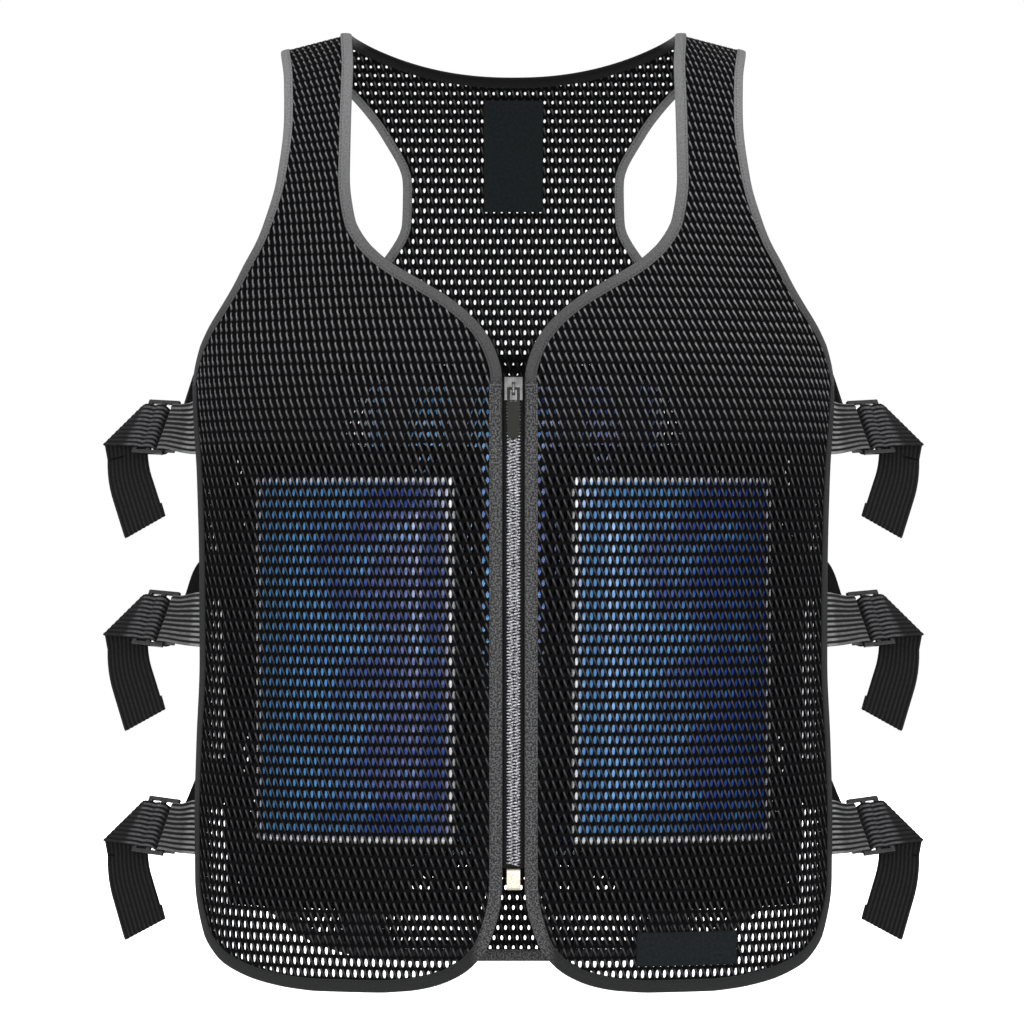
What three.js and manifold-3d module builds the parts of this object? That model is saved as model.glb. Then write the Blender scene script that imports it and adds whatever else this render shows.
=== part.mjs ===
import * as THREE from "three";
import { mergeVertices } from "three/addons/utils/BufferGeometryUtils.js";
import Module from "manifold-3d";

// Cooling vest of spacer mesh, worn shape. Millimetres, +Z up, +X to the viewer's right, front towards -Y.
// The origin is midway between the undersides of the two shoulder straps, on the shoulder ridge.

// Body of the vest
const FRONT_LENGTH = 662;
const BACK_LENGTH = 670;
const HALF_CHEST = 221;
const HALF_BACK = 226;
const CHEST_DEPTH = 115;
const BACK_DEPTH = 106;
const SIDE_TURN = 7;
const SECTION_POWER = 2.6;
const STRAP_INNER = 117;
const STRAP_OUTER = 163;
const SHOULDER_DROP = 12;
const SHOULDER_FADE = 60;
const NECK_POWER = 2.2;
const CLOTH = 2.5;
const SEAM_GAP = 0.3;
const CLEAR = 0.4;
const LAYER_GAP = 1;

// Binding tape folded round every edge
const BINDING_LEG = 7;
const BINDING = 1;
const BINDING_EASE = 1.1;
const BINDING_TURN = 1;

// Zip
const ZIP_SLOT = 15;
const CHAIN_WIDTH = 9;
const CHAIN = 2.5;
const TAPE = 0.8;
const TAPE_LIFT = 0.8;
const SLIDER_DOWN = 255;
const SLIDER_LENGTH = 16;
const SLIDER_WIDTH = 12.6;
const SLIDER_PLATE = 1.4;
const SLIDER_POST = 3;
const BAIL_WIDTH = 1.8;
const BAIL_WIRE = 1.3;
const BAIL_REACH = 3;
const BAIL_WINDOW = 6;
const PULL_LENGTH = 34;
const PULL_WIDTH = 8.6;
const PULL = 1.4;
const PULL_BAR = 1.6;
const PULL_EYE_WIDTH = 4.8;
const PULL_EYE_LENGTH = 8;
const RETAINER_RISE = 76;
const RETAINER_LENGTH = 14;
const RETAINER_WIDTH = 9.4;
const RETAINER_WALL = 1.2;

// Gel packs and the inner mesh pockets that hold them
const FRONT_PACK_WIDTH = 141;
const FRONT_PACK_HEIGHT = 252;
const FRONT_PACK_MIDDLE = 110;
const FRONT_PACK_DOWN = 438;
const FRONT_PACK = 10;
const BACK_PACK_WIDTH = 226;
const BACK_PACK_HEIGHT = 352;
const BACK_PACK_DOWN = 416;
const BACK_PACK = 12;
const PACK_RIM = 2;
const PACK_SHOULDER = 26;
const PACK_WELDS = 3;
const WELD_HALF = 9;
const WELD_SHARE = 0.62;
const POCKET_CLOTH = 1.5;
const POCKET_SLACK = 1.6;
const POCKET_MARGIN = 18;
const POCKET_TOP_MARGIN = 20;
const POCKET_HEM_MARGIN = 44;
const BACK_POCKET_SIDE_MARGIN = 70;

// Labels, left bare
const LABEL = 0.8;
const NECK_LABEL_WIDTH = 44;
const NECK_LABEL_HEIGHT = 78;
const NECK_LABEL_DROP = 12;
const HEM_LABEL_WIDTH = 68;
const HEM_LABEL_HEIGHT = 23;
const HEM_LABEL_MIDDLE = 117;
const HEM_LABEL_RISE = 28;

// Side straps: webbing through ladder-lock buckles on elastic tabs
const WEBBING_WIDTH = 33;
const WEBBING = 1.4;
const TAB_WIDTH = 38;
const TAB = 1.5;
const TAB_RETURN = 9;
const BUCKLE_BAR = 3.5;
const BUCKLE_SLOT = 8;
const BUCKLE_RAIL = 3;
const BUCKLE_SLOT_WIDTH = 36;
const BUCKLE = 3;
const BUCKLE_REACH = 251;
const BUCKLE_BACK = 30;
const BUCKLE_YAW = THREE.MathUtils.degToRad(30);
const BUCKLE_PITCH = THREE.MathUtils.degToRad(24);
const BUCKLE_TILT = THREE.MathUtils.degToRad(4);
const FOLD_START = 17;
const FOLD_RUN = 23;
const FOLD_DROP = 2.5;
const TAB_SET_OFF = 8;
const WEB_SET_OFF = 34;
const WEB_DIP = 1.6;
const TAIL_LENGTH = 60;
const TAIL_LEAN = 0.3;
const TAIL_END_LEAN = 0.72;
const TAIL_HEM = 11;
const TAIL_TURN = 8;
const TAIL_BACK = 6;
const TAIL_CREEP = 1;
const TAIL_PIECES = 4;

// How far down each strap's buckle and its seam on the back panel lie, as shares of the front's length
const STRAPS = [
  { name: "upper", buckle: 0.42, back: 0.375 },
  { name: "middle", buckle: 0.623, back: 0.578 },
  { name: "lower", buckle: 0.843, back: 0.806 },
];

// The front panel's inner and outer edges, as shares of FRONT_LENGTH down and of HALF_CHEST out.
// steps is how many rows of facets lie between this row and the next.
const FRONT_EDGES = [
  { down: 0, inner: 0.529, outer: 0.738, steps: 4 },
  { down: 0.045, inner: 0.515, outer: 0.717, steps: 1 },
  { down: 0.098, inner: 0.516, outer: 0.711, steps: 1 },
  { down: 0.162, inner: 0.516, outer: 0.729, steps: 1 },
  { down: 0.208, inner: 0.498, outer: 0.765, steps: 1 },
  { down: 0.23, inner: 0.465, outer: 0.79, steps: 1 },
  { down: 0.254, inner: 0.393, outer: 0.829, steps: 1 },
  { down: 0.275, inner: 0.29, outer: 0.861, steps: 1 },
  { down: 0.296, inner: 0.19, outer: 0.9, steps: 1 },
  { down: 0.319, inner: 0.115, outer: 0.945, steps: 1 },
  { down: 0.344, inner: 0.066, outer: 0.98, steps: 1 },
  { down: 0.378, inner: 0.041, outer: 1, steps: 1 },
  { down: 0.476, inner: 0.041, outer: 0.982, steps: 1 },
  { down: 0.57, inner: 0.041, outer: 0.974, steps: 1 },
  { down: 0.665, inner: 0.041, outer: 0.973, steps: 1 },
  { down: 0.755, inner: 0.041, outer: 0.986, steps: 1 },
  { down: 0.83, inner: 0.041, outer: 0.993, steps: 1 },
  { down: 0.897, inner: 0.044, outer: 0.992, steps: 1 },
  { down: 0.95, inner: 0.082, outer: 0.962, steps: 1 },
  { down: 0.974, inner: 0.135, outer: 0.912, steps: 1 },
  { down: 0.989, inner: 0.21, outer: 0.82, steps: 1 },
  { down: 0.997, inner: 0.3, outer: 0.71, steps: 1 },
  { down: 1, inner: 0.4, outer: 0.62, steps: 1 },
];
const ZIP_TOP_ROW = 11;
const FRONT_COLUMNS = [0, 0.08, 0.2, 0.35, 0.5, 0.65, 0.8, 0.92, 1];

// The back panel's outer edge, as shares of BACK_LENGTH down and of HALF_BACK out.
// centre is how far down the same row of facets lies on the middle line.
const BACK_EDGES = [
  { down: 0, outer: 0.721, centre: 0.036 },
  { down: 0.001, outer: 0.718, centre: 0.04 },
  { down: 0.0045, outer: 0.708, centre: 0.045 },
  { down: 0.0134, outer: 0.673, centre: 0.052 },
  { down: 0.027, outer: 0.611, centre: 0.061 },
  { down: 0.045, outer: 0.54, centre: 0.073 },
  { down: 0.0925, outer: 0.42, centre: 0.104 },
  { down: 0.14, outer: 0.354, centre: 0.143 },
  { down: 0.184, outer: 0.358, centre: 0.184 },
  { down: 0.222, outer: 0.416, centre: 0.222 },
  { down: 0.26, outer: 0.54, centre: 0.26 },
  { down: 0.275, outer: 0.618, centre: 0.275 },
  { down: 0.288, outer: 0.7, centre: 0.288 },
  { down: 0.306, outer: 0.8, centre: 0.306 },
  { down: 0.325, outer: 0.888, centre: 0.325 },
  { down: 0.35, outer: 0.958, centre: 0.35 },
  { down: 0.373, outer: 0.985, centre: 0.373 },
  { down: 0.41, outer: 1, centre: 0.41 },
  { down: 0.44, outer: 0.99, centre: 0.44 },
  { down: 0.48, outer: 0.971, centre: 0.48 },
  { down: 0.525, outer: 0.951, centre: 0.525 },
  { down: 0.6, outer: 0.929, centre: 0.6 },
  { down: 0.69, outer: 0.923, centre: 0.69 },
  { down: 0.77, outer: 0.92, centre: 0.77 },
  { down: 0.87, outer: 0.918, centre: 0.87 },
  { down: 0.9, outer: 0.889, centre: 0.9 },
  { down: 0.924, outer: 0.836, centre: 0.924 },
  { down: 0.946, outer: 0.77, centre: 0.946 },
  { down: 0.97, outer: 0.686, centre: 0.97 },
  { down: 0.985, outer: 0.593, centre: 0.985 },
  { down: 0.994, outer: 0.5, centre: 0.994 },
  { down: 1, outer: 0.34, centre: 1 },
];
const BACK_ARMPIT_ROW = 16;
const STRAP_COLUMN = 0.718;
const BACK_COLUMNS = [0, 0.2, 0.38, 0.53, 0.64, 0.695, STRAP_COLUMN, 0.86, 1];

// How far the cloth stands off the ridge plane, as shares of the lengths down and of the depths
const FRONT_DEPTHS = [
  { down: 0, deep: 0 },
  { down: 0.012, deep: 0.19 },
  { down: 0.038, deep: 0.365 },
  { down: 0.098, deep: 0.574 },
  { down: 0.166, deep: 0.73 },
  { down: 0.227, deep: 0.835 },
  { down: 0.296, deep: 0.92 },
  { down: 0.364, deep: 0.974 },
  { down: 0.498, deep: 1 },
  { down: 0.665, deep: 0.974 },
  { down: 0.8, deep: 0.94 },
  { down: 1, deep: 0.905 },
];
const BACK_DEPTHS = [
  { down: 0, deep: 0 },
  { down: 0.036, deep: 0.425 },
  { down: 0.0925, deep: 0.717 },
  { down: 0.14, deep: 0.85 },
  { down: 0.222, deep: 0.962 },
  { down: 0.328, deep: 1 },
  { down: 0.49, deep: 0.943 },
  { down: 0.67, deep: 0.84 },
  { down: 0.836, deep: 0.83 },
  { down: 1, deep: 0.868 },
];

const FRONT = { sign: -1, length: FRONT_LENGTH, half: HALF_CHEST, depth: CHEST_DEPTH, depths: FRONT_DEPTHS };
const BACK = { sign: 1, length: BACK_LENGTH, half: HALF_BACK, depth: BACK_DEPTH, depths: BACK_DEPTHS };

// Surface finishes
const finish = (color, roughness, metalness = 0) => new THREE.MeshStandardMaterial({ color, roughness, metalness });
const spacerMesh = finish(0x151515, 0.85);
const greyBinding = finish(0x505052, 0.8);
const darkBinding = finish(0x2b2d2d, 0.85);
const zipTape = finish(0x0c0c0d, 0.85);
const zipCoil = finish(0x3a3a3d, 0.5);
const paintedZinc = finish(0x1d1d1f, 0.4, 0.4);
const nickel = finish(0xcfc6b4, 0.35, 0.9);
const blueFilm = finish(0x2468b8, 0.3);
const labelCloth = finish(0x111314, 0.7);
const elastic = finish(0x4a4a4a, 0.85);
const webbing = finish(0x1c1c1d, 0.8);
const acetal = finish(0x141414, 0.4);

const vest = new THREE.Group();
const wasm = await Module();
wasm.setup();

// Smooth reading of one column of a table, at a place between its rows
function between(rows, column, at, measure = (share) => share) {
  const x = rows.map((row) => measure(row.down));
  const y = rows.map((row) => row[column]);
  const here = Math.min(Math.max(measure(at), x[0]), x[x.length - 1]);
  let k = 0;
  while (k < x.length - 2 && here > x[k + 1]) {
    k += 1;
  }
  const slope = (i) => (y[i + 1] - y[i]) / (x[i + 1] - x[i]);
  const tangent = (i) => {
    const before = slope(Math.max(i - 1, 0));
    const after = slope(Math.min(i, x.length - 2));
    return before * after <= 0 ? 0 : (2 * before * after) / (before + after);
  };
  const span = x[k + 1] - x[k];
  const t = (here - x[k]) / span;
  const rise = t * t * (3 - 2 * t);
  return (
    y[k] * (1 - rise) + y[k + 1] * rise
    + span * (t * (1 - t) * (1 - t) * tangent(k) - t * t * (1 - t) * tangent(k + 1))
  );
}

const smoothStep = (t) => THREE.MathUtils.smoothstep(t, 0, 1);

// A point of the cloth's inner face: x out from the middle, root is the square root of the way down
function innerFace(face, x, root) {
  const down = root * root;
  const out = Math.min(Math.abs(x) / (face.half + SIDE_TURN), 1);
  const section = (1 - out ** SECTION_POWER) ** (1 / SECTION_POWER);
  const deep = face.depth * between(face.depths, "deep", down / face.length, Math.sqrt);
  const ramp = THREE.MathUtils.clamp((Math.abs(x) - STRAP_INNER) / (STRAP_OUTER - STRAP_INNER), 0, 1);
  const drop = SHOULDER_DROP * ramp * Math.exp(-down / SHOULDER_FADE);
  return new THREE.Vector3(x, face.sign * (SEAM_GAP / 2 + deep * section), -down - drop);
}

function outward(face, x, down) {
  const step = 0.05;
  const root = Math.max(Math.sqrt(down), step);
  const across = innerFace(face, x + step, root).sub(innerFace(face, x - step, root));
  const along = innerFace(face, x, root + step).sub(innerFace(face, x, root - step));
  return across.cross(along).normalize().multiplyScalar(face.sign);
}

// A point lifted off the cloth's inner face
function onCloth(face, x, down, lift) {
  return innerFace(face, x, Math.sqrt(down)).addScaledVector(outward(face, x, down), lift);
}

function volume(geometry) {
  const at = geometry.getAttribute("position");
  const corner = (i) => new THREE.Vector3().fromBufferAttribute(at, geometry.index.getX(i));
  let sum = 0;
  for (let i = 0; i < geometry.index.count; i += 3) {
    sum += corner(i).dot(corner(i + 1).cross(corner(i + 2)));
  }
  return sum / 6;
}

// Joins the shared corners of a geometry into one closed skin that faces out
function closed(geometry) {
  geometry.deleteAttribute("normal");
  geometry.deleteAttribute("uv");
  const skin = mergeVertices(geometry, 1e-4);
  if (volume(skin) < 0) {
    const index = skin.index;
    for (let i = 0; i < index.count; i += 3) {
      const first = index.getX(i);
      index.setX(i, index.getX(i + 1));
      index.setX(i + 1, first);
    }
  }
  skin.computeVertexNormals();
  return skin;
}

function bend(geometry, place) {
  const at = geometry.getAttribute("position");
  for (let i = 0; i < at.count; i += 1) {
    const point = place(at.getX(i), at.getY(i), at.getZ(i));
    at.setXYZ(i, point.x, point.y, point.z);
  }
  return closed(geometry);
}

function add(name, geometry, material, parent = vest) {
  const mesh = new THREE.Mesh(geometry, material);
  mesh.name = name;
  parent.add(mesh);
  return mesh;
}

// Cuts each cell of a block's two broad faces along the same diagonal, mirrored about the middle if asked
function matchDiagonals(block, columns, rows, mirrored) {
  const index = block.index;
  const cells = columns * rows;
  const broad = index.count - 12 * cells;
  for (let k = 0; k < 2 * cells; k += 1) {
    if (mirrored ? k % columns >= columns / 2 : k >= cells) {
      const first = broad + 6 * k;
      const [a, b, d, , c] = [0, 1, 2, 3, 4].map((i) => index.getX(first + i));
      [a, b, c, a, c, d].forEach((corner, i) => index.setX(first + i, corner));
    }
  }
  return block;
}

// A sheet with a closed skin: place gives x and down for a column and a row, low and high its two faces
function sheet(lay, columns, rows, place, low, high, mirrored = false) {
  const block = new THREE.BoxGeometry(1, 1, 1, columns, rows, 1);
  return bend(matchDiagonals(block, columns, rows, mirrored), (x, y, z) => {
    const column = Math.round((x + 0.5) * columns);
    const row = Math.round((0.5 - y) * rows);
    const spot = place(column, row);
    const lift = z > 0 ? high(spot.x, spot.down) : low(spot.x, spot.down);
    return lay(spot.x, spot.down, lift);
  });
}

const onFront = (x, down, lift) => onCloth(FRONT, x, down, lift);
const onBack = (x, down, lift) => onCloth(BACK, x, down, lift);

// Lays points on a panel's own flat facets, so that what lies on the panel keeps its distance from them
function layerOn(face, columns, rows, spotAt, mirrored = false) {
  const corner = (column, row) => {
    const spot = spotAt(column, row);
    return {
      flat: new THREE.Vector3(spot.x, spot.down, 0),
      at: onCloth(face, spot.x, spot.down, 0),
      out: outward(face, spot.x, spot.down),
    };
  };
  const facets = [];
  for (let row = 0; row < rows; row += 1) {
    for (let column = 0; column < columns; column += 1) {
      const a = corner(column, row);
      const b = corner(column, row + 1);
      const c = corner(column + 1, row + 1);
      const d = corner(column + 1, row);
      if (mirrored && column >= columns / 2) {
        facets.push([a, b, c], [a, c, d]);
      } else {
        facets.push([a, b, d], [b, c, d]);
      }
    }
  }
  return (x, down, lift) => {
    const here = new THREE.Vector3(x, down, 0);
    let best = null;
    for (const facet of facets) {
      const share = THREE.Triangle.getBarycoord(here, ...facet.map((one) => one.flat), new THREE.Vector3());
      const least = share ? Math.min(share.x, share.y, share.z) : -Infinity;
      if (!best || least > best.least) {
        best = { least, share, facet };
      }
    }
    const point = new THREE.Vector3();
    best.facet.forEach((one, k) => {
      const weight = best.share.getComponent(k);
      point.addScaledVector(one.at, weight).addScaledVector(one.out, weight * lift);
    });
    return point;
  };
}

// A ribbon through stations, each with its middle, the way across it, its face and its own size
function ribbon(stations, width, thickness) {
  const block = new THREE.BoxGeometry(1, 1, 1, 1, stations.length - 1, 1);
  return bend(matchDiagonals(block, 1, stations.length - 1, false), (x, y, z) => {
    const station = stations[Math.round((y + 0.5) * (stations.length - 1))];
    return station.at
      .clone()
      .addScaledVector(station.across, x * (station.width ?? width))
      .addScaledVector(station.face, z * (station.thickness ?? thickness));
  });
}

// A section drawn once and carried along stations that give its middle, its side and its face
function carried(stations, points) {
  const section = new THREE.Shape(points.map(([side, lift]) => new THREE.Vector2(side, lift)));
  const steps = stations.length - 1;
  const block = new THREE.ExtrudeGeometry(section, { steps, depth: 1, bevelEnabled: false });
  return bend(block, (x, y, z) => {
    const station = stations[Math.round(z * steps)];
    return station.at.clone().addScaledVector(station.side, x).addScaledVector(station.face, y);
  });
}

// Front panels, each with its zip edge back from the middle line by half the slot and the binding's turn
const ZIP_EDGE = ZIP_SLOT / 2 + BINDING + BINDING_TURN;
const frontRows = [];
FRONT_EDGES.forEach((edge, k) => {
  const next = FRONT_EDGES[k + 1];
  const from = Math.sqrt(edge.down);
  for (let i = 0; next && i < edge.steps; i += 1) {
    frontRows.push((from + ((Math.sqrt(next.down) - from) * i) / edge.steps) ** 2);
  }
});
frontRows.push(1);
const zipTopRow = frontRows.indexOf(frontRows.find((down) => down > FRONT_EDGES[ZIP_TOP_ROW].down - 1e-6));

function frontSpot(hand, column, row) {
  const down = frontRows[row];
  const inner = Math.max(HALF_CHEST * between(FRONT_EDGES, "inner", down), ZIP_EDGE);
  const outer = HALF_CHEST * between(FRONT_EDGES, "outer", down);
  return { x: hand * (inner + (outer - inner) * FRONT_COLUMNS[column]), down: FRONT_LENGTH * down };
}

const onFrontPanel = {};
for (const [side, hand] of [["left", -1], ["right", 1]]) {
  const columns = FRONT_COLUMNS.length - 1;
  const rows = frontRows.length - 1;
  const place = (column, row) => frontSpot(hand, column, row);
  add(`front_panel_${side}`, sheet(onFront, columns, rows, place, () => 0, () => CLOTH, true), spacerMesh);
  onFrontPanel[side] = layerOn(FRONT, columns, rows, place, true);
}

// Back panel: the top row follows the shoulder ridges and the neckline
const backColumns = [...BACK_COLUMNS.slice(1).reverse().map((share) => -share), ...BACK_COLUMNS];

function backSpot(column, row) {
  const share = backColumns[column];
  const edge = BACK_EDGES[row];
  const out = Math.min(Math.abs(share) / STRAP_COLUMN, 1);
  const down = edge.down + (edge.centre - edge.down) * (1 - out ** NECK_POWER);
  return { x: share * HALF_BACK * edge.outer, down: BACK_LENGTH * down };
}

const backBottom = BACK_EDGES.length - 1;
const backPanel = sheet(onBack, backColumns.length - 1, backBottom, backSpot, () => 0, () => CLOTH, true);
add("back_panel", backPanel, spacerMesh);
const onBackPanel = layerOn(BACK, backColumns.length - 1, backBottom, backSpot, true);

// Bindings: a folded tape round the cut edges, laid along the panels' own edge points
function edgeStations(face, spots) {
  const points = spots.map((spot) => onCloth(face, spot.x, spot.down, 0));
  return spots.map((spot, i) => {
    const before = points[Math.max(i - 1, 0)];
    const after = points[Math.min(i + 1, points.length - 1)];
    const along = after.clone().sub(before).normalize();
    const smooth = outward(face, spot.x, spot.down);
    const within = onCloth(face, spot.inside.x, spot.inside.down, 0);
    const side = points[i].clone().sub(within);
    if (spot.smooth) {
      side.copy(along.clone().cross(smooth).multiplyScalar(Math.sign(side.dot(along.clone().cross(smooth)))));
    }
    side.addScaledVector(along, -side.dot(along)).normalize();
    const up = side.clone().cross(along);
    return { at: points[i], side, face: up.multiplyScalar(Math.sign(up.dot(smooth))) };
  });
}

// An edge spot of a panel's grid, with the spot just inside it. Where the cloth bends little across its
// facets, as at the neck and the hem's round corners, the binding follows the smooth face instead.
const HEM_ROWS = 5;
const edgeSpot = (spotAt, column, row, insideColumn, insideRow, smooth) => ({
  ...spotAt(column, row),
  inside: spotAt(insideColumn, insideRow),
  smooth,
});

const bindingSection = [
  [-BINDING_LEG, -BINDING_EASE - BINDING],
  [BINDING_TURN + BINDING, -BINDING_EASE - BINDING],
  [BINDING_TURN + BINDING, CLOTH + BINDING_EASE + BINDING],
  [-BINDING_LEG, CLOTH + BINDING_EASE + BINDING],
  [-BINDING_LEG, CLOTH + BINDING_EASE],
  [BINDING_TURN, CLOTH + BINDING_EASE],
  [BINDING_TURN, -BINDING_EASE],
  [-BINDING_LEG, -BINDING_EASE],
];

// Draws both ends of a run back, so that the next tape starts a small gap away
function trimmed(stations) {
  const run = stations.map((station) => ({ ...station, at: station.at.clone() }));
  const draw = (end, inner) => {
    const back = inner.at.clone().sub(end.at).normalize();
    end.at.addScaledVector(back, SEAM_GAP);
  };
  draw(run[0], run[1]);
  draw(run[run.length - 1], run[run.length - 2]);
  return run;
}

// Two runs that meet at a shoulder seam share one station there
function joined(run, next) {
  const last = run[run.length - 1];
  const first = next[0];
  const seam = {
    at: last.at.clone().lerp(first.at, 0.5),
    side: last.side.clone().lerp(first.side, 0.5).normalize(),
    face: last.face.clone().lerp(first.face, 0.5).normalize(),
  };
  return [...run.slice(0, -1), seam, ...next.slice(1)];
}

const frontRuns = {};
for (const [side, hand] of [["left", -1], ["right", 1]]) {
  const last = FRONT_COLUMNS.length - 1;
  const bottom = frontRows.length - 1;
  const spotAt = (column, row) => frontSpot(hand, column, row);
  const spots = [];
  for (let row = 0; row < bottom; row += 1) {
    spots.push(edgeSpot(spotAt, 0, row, 1, row, row > bottom - HEM_ROWS));
  }
  for (let column = 0; column <= last; column += 1) {
    spots.push(edgeSpot(spotAt, column, bottom, column, bottom - 2, true));
  }
  for (let row = bottom - 1; row >= 0; row -= 1) {
    spots.push(edgeSpot(spotAt, last, row, last - 1, row, row > bottom - HEM_ROWS));
  }
  const stations = edgeStations(FRONT, spots);
  const armpit = spots.length - 1 - zipTopRow;
  frontRuns[side] = {
    neck: stations.slice(0, zipTopRow + 1),
    arm: stations.slice(armpit),
    side: stations.slice(spots.length - bottom),
  };
  const edging = carried(trimmed(stations.slice(zipTopRow, armpit + 1)), bindingSection);
  add(`front_edge_binding_${side}`, edging, darkBinding);
}

const backLast = backColumns.length - 1;
const strapColumn = BACK_COLUMNS.length - 1 - BACK_COLUMNS.indexOf(STRAP_COLUMN);
const neckSpots = [];
for (let column = strapColumn; column <= backLast - strapColumn; column += 1) {
  const beyond = (column === backLast - strapColumn) - (column === strapColumn);
  neckSpots.push(edgeSpot(backSpot, column, 0, column + beyond, beyond ? 0 : 4, true));
}
const backNeck = edgeStations(BACK, neckSpots);
const neckRun = [...frontRuns.left.neck.slice().reverse(), ...backNeck, ...frontRuns.right.neck];
add("neck_binding", carried(trimmed(neckRun), bindingSection), greyBinding);

const backSpots = [];
for (let row = 0; row < backBottom; row += 1) {
  backSpots.push(edgeSpot(backSpot, 0, row, 1, row, row > backBottom - HEM_ROWS));
}
for (let column = 0; column <= backLast; column += 1) {
  backSpots.push(edgeSpot(backSpot, column, backBottom, column, backBottom - 2, true));
}
for (let row = backBottom - 1; row >= 0; row -= 1) {
  backSpots.push(edgeSpot(backSpot, backLast, row, backLast - 1, row, row > backBottom - HEM_ROWS));
}
const backRound = edgeStations(BACK, backSpots);
const backEdging = backRound.slice(BACK_ARMPIT_ROW, backRound.length - BACK_ARMPIT_ROW);
add("back_edge_binding", carried(trimmed(backEdging), bindingSection), darkBinding);
const backSides = { left: backRound.slice(0, backBottom), right: backRound.slice(-backBottom) };
const backArms = {
  left: backRound.slice(0, BACK_ARMPIT_ROW + 1),
  right: backRound.slice(backRound.length - 1 - BACK_ARMPIT_ROW).reverse(),
};
for (const side of ["left", "right"]) {
  const run = joined(frontRuns[side].arm, backArms[side]);
  add(`armhole_binding_${side}`, carried(trimmed(run), bindingSection), greyBinding);
}

// Zip: two tapes, the closed coil chain, a slider, its pull, and the retainer box at the bottom
const sliderEnd = SLIDER_LENGTH / 2;
const chainTop = SLIDER_DOWN - sliderEnd + SLIDER_POST + SEAM_GAP;
const retainerDown = FRONT_LENGTH - RETAINER_RISE;
const retainerTop = retainerDown - RETAINER_LENGTH / 2;
const ZIP_ROWS = 8;

function zipStrip(from, to, top, low, high, rows = ZIP_ROWS) {
  const bottom = retainerTop - SEAM_GAP;
  const place = (column, row) => ({ x: column ? to : from, down: top + ((bottom - top) * row) / rows });
  return sheet(onFront, 1, rows, place, () => low, () => high);
}

const tapeEdge = ZIP_SLOT / 2 - SEAM_GAP;
const chainLift = TAPE_LIFT + TAPE + SEAM_GAP;
add("zip_tape_left", zipStrip(-tapeEdge, -SEAM_GAP / 2, chainTop, TAPE_LIFT, TAPE_LIFT + TAPE), zipTape);
add("zip_tape_right", zipStrip(SEAM_GAP / 2, tapeEdge, chainTop, TAPE_LIFT, TAPE_LIFT + TAPE), zipTape);
add("zip_chain", zipStrip(-CHAIN_WIDTH / 2, CHAIN_WIDTH / 2, chainTop, chainLift, chainLift + CHAIN), zipCoil);

// The zip's hard pieces sit in a group turned to the cloth, with Z up the zip and -Y off the cloth
function zipGroup(down) {
  const group = new THREE.Group();
  const up = outward(FRONT, 0, down);
  group.position.copy(onCloth(FRONT, 0, down, 0));
  group.rotation.x = Math.atan2(-up.z, -up.y);
  vest.add(group);
  return group;
}

// A side outline of ups and lifts, pulled out to a width across the zip
function sideCut(outline, width) {
  const shape = new THREE.Shape(outline.map(([up, lift]) => new THREE.Vector2(up, lift)));
  const block = new THREE.ExtrudeGeometry(shape, { depth: width, bevelEnabled: false });
  return bend(block, (x, y, z) => new THREE.Vector3(z - width / 2, -y, x));
}

function solid(geometry) {
  const vertProperties = new Float32Array(geometry.getAttribute("position").array);
  const triVerts = new Uint32Array(geometry.index.array);
  return new wasm.Manifold(new wasm.Mesh({ numProp: 3, vertProperties, triVerts }));
}

function skinOf(manifold) {
  const mesh = manifold.getMesh();
  const geometry = new THREE.BufferGeometry();
  geometry.setAttribute("position", new THREE.BufferAttribute(mesh.vertProperties, 3));
  geometry.setIndex(new THREE.BufferAttribute(mesh.triVerts, 1));
  geometry.computeVertexNormals();
  return geometry;
}

const sliderGroup = zipGroup(SLIDER_DOWN);
const plateBack = TAPE_LIFT - CLEAR;
const plateFront = chainLift + CHAIN + CLEAR;
const sliderFront = plateFront + SLIDER_PLATE;
const sliderBody = sideCut(
  [
    [-sliderEnd, plateBack - SLIDER_PLATE],
    [sliderEnd, plateBack - SLIDER_PLATE],
    [sliderEnd, sliderFront],
    [-sliderEnd, sliderFront],
    [-sliderEnd, plateFront],
    [sliderEnd - SLIDER_POST, plateFront],
    [sliderEnd - SLIDER_POST, plateBack],
    [-sliderEnd, plateBack],
  ],
  SLIDER_WIDTH,
);
const bailFoot = sliderFront - SLIDER_PLATE / 2;
const bailTop = sliderFront + BAIL_REACH + BAIL_WIRE;
const bailHalf = BAIL_WINDOW / 2;
const bail = sideCut(
  [
    [-bailHalf - BAIL_WIRE, bailFoot],
    [-bailHalf, bailFoot],
    [-bailHalf, sliderFront + BAIL_REACH],
    [bailHalf, sliderFront + BAIL_REACH],
    [bailHalf, bailFoot],
    [bailHalf + BAIL_WIRE, bailFoot],
    [bailHalf + BAIL_WIRE, bailTop - BAIL_WIRE / 2],
    [bailHalf, bailTop],
    [-bailHalf, bailTop],
    [-bailHalf - BAIL_WIRE, bailTop - BAIL_WIRE / 2],
  ],
  BAIL_WIDTH,
);
add("zip_slider", skinOf(solid(sliderBody).add(solid(bail))), paintedZinc, sliderGroup);

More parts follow.
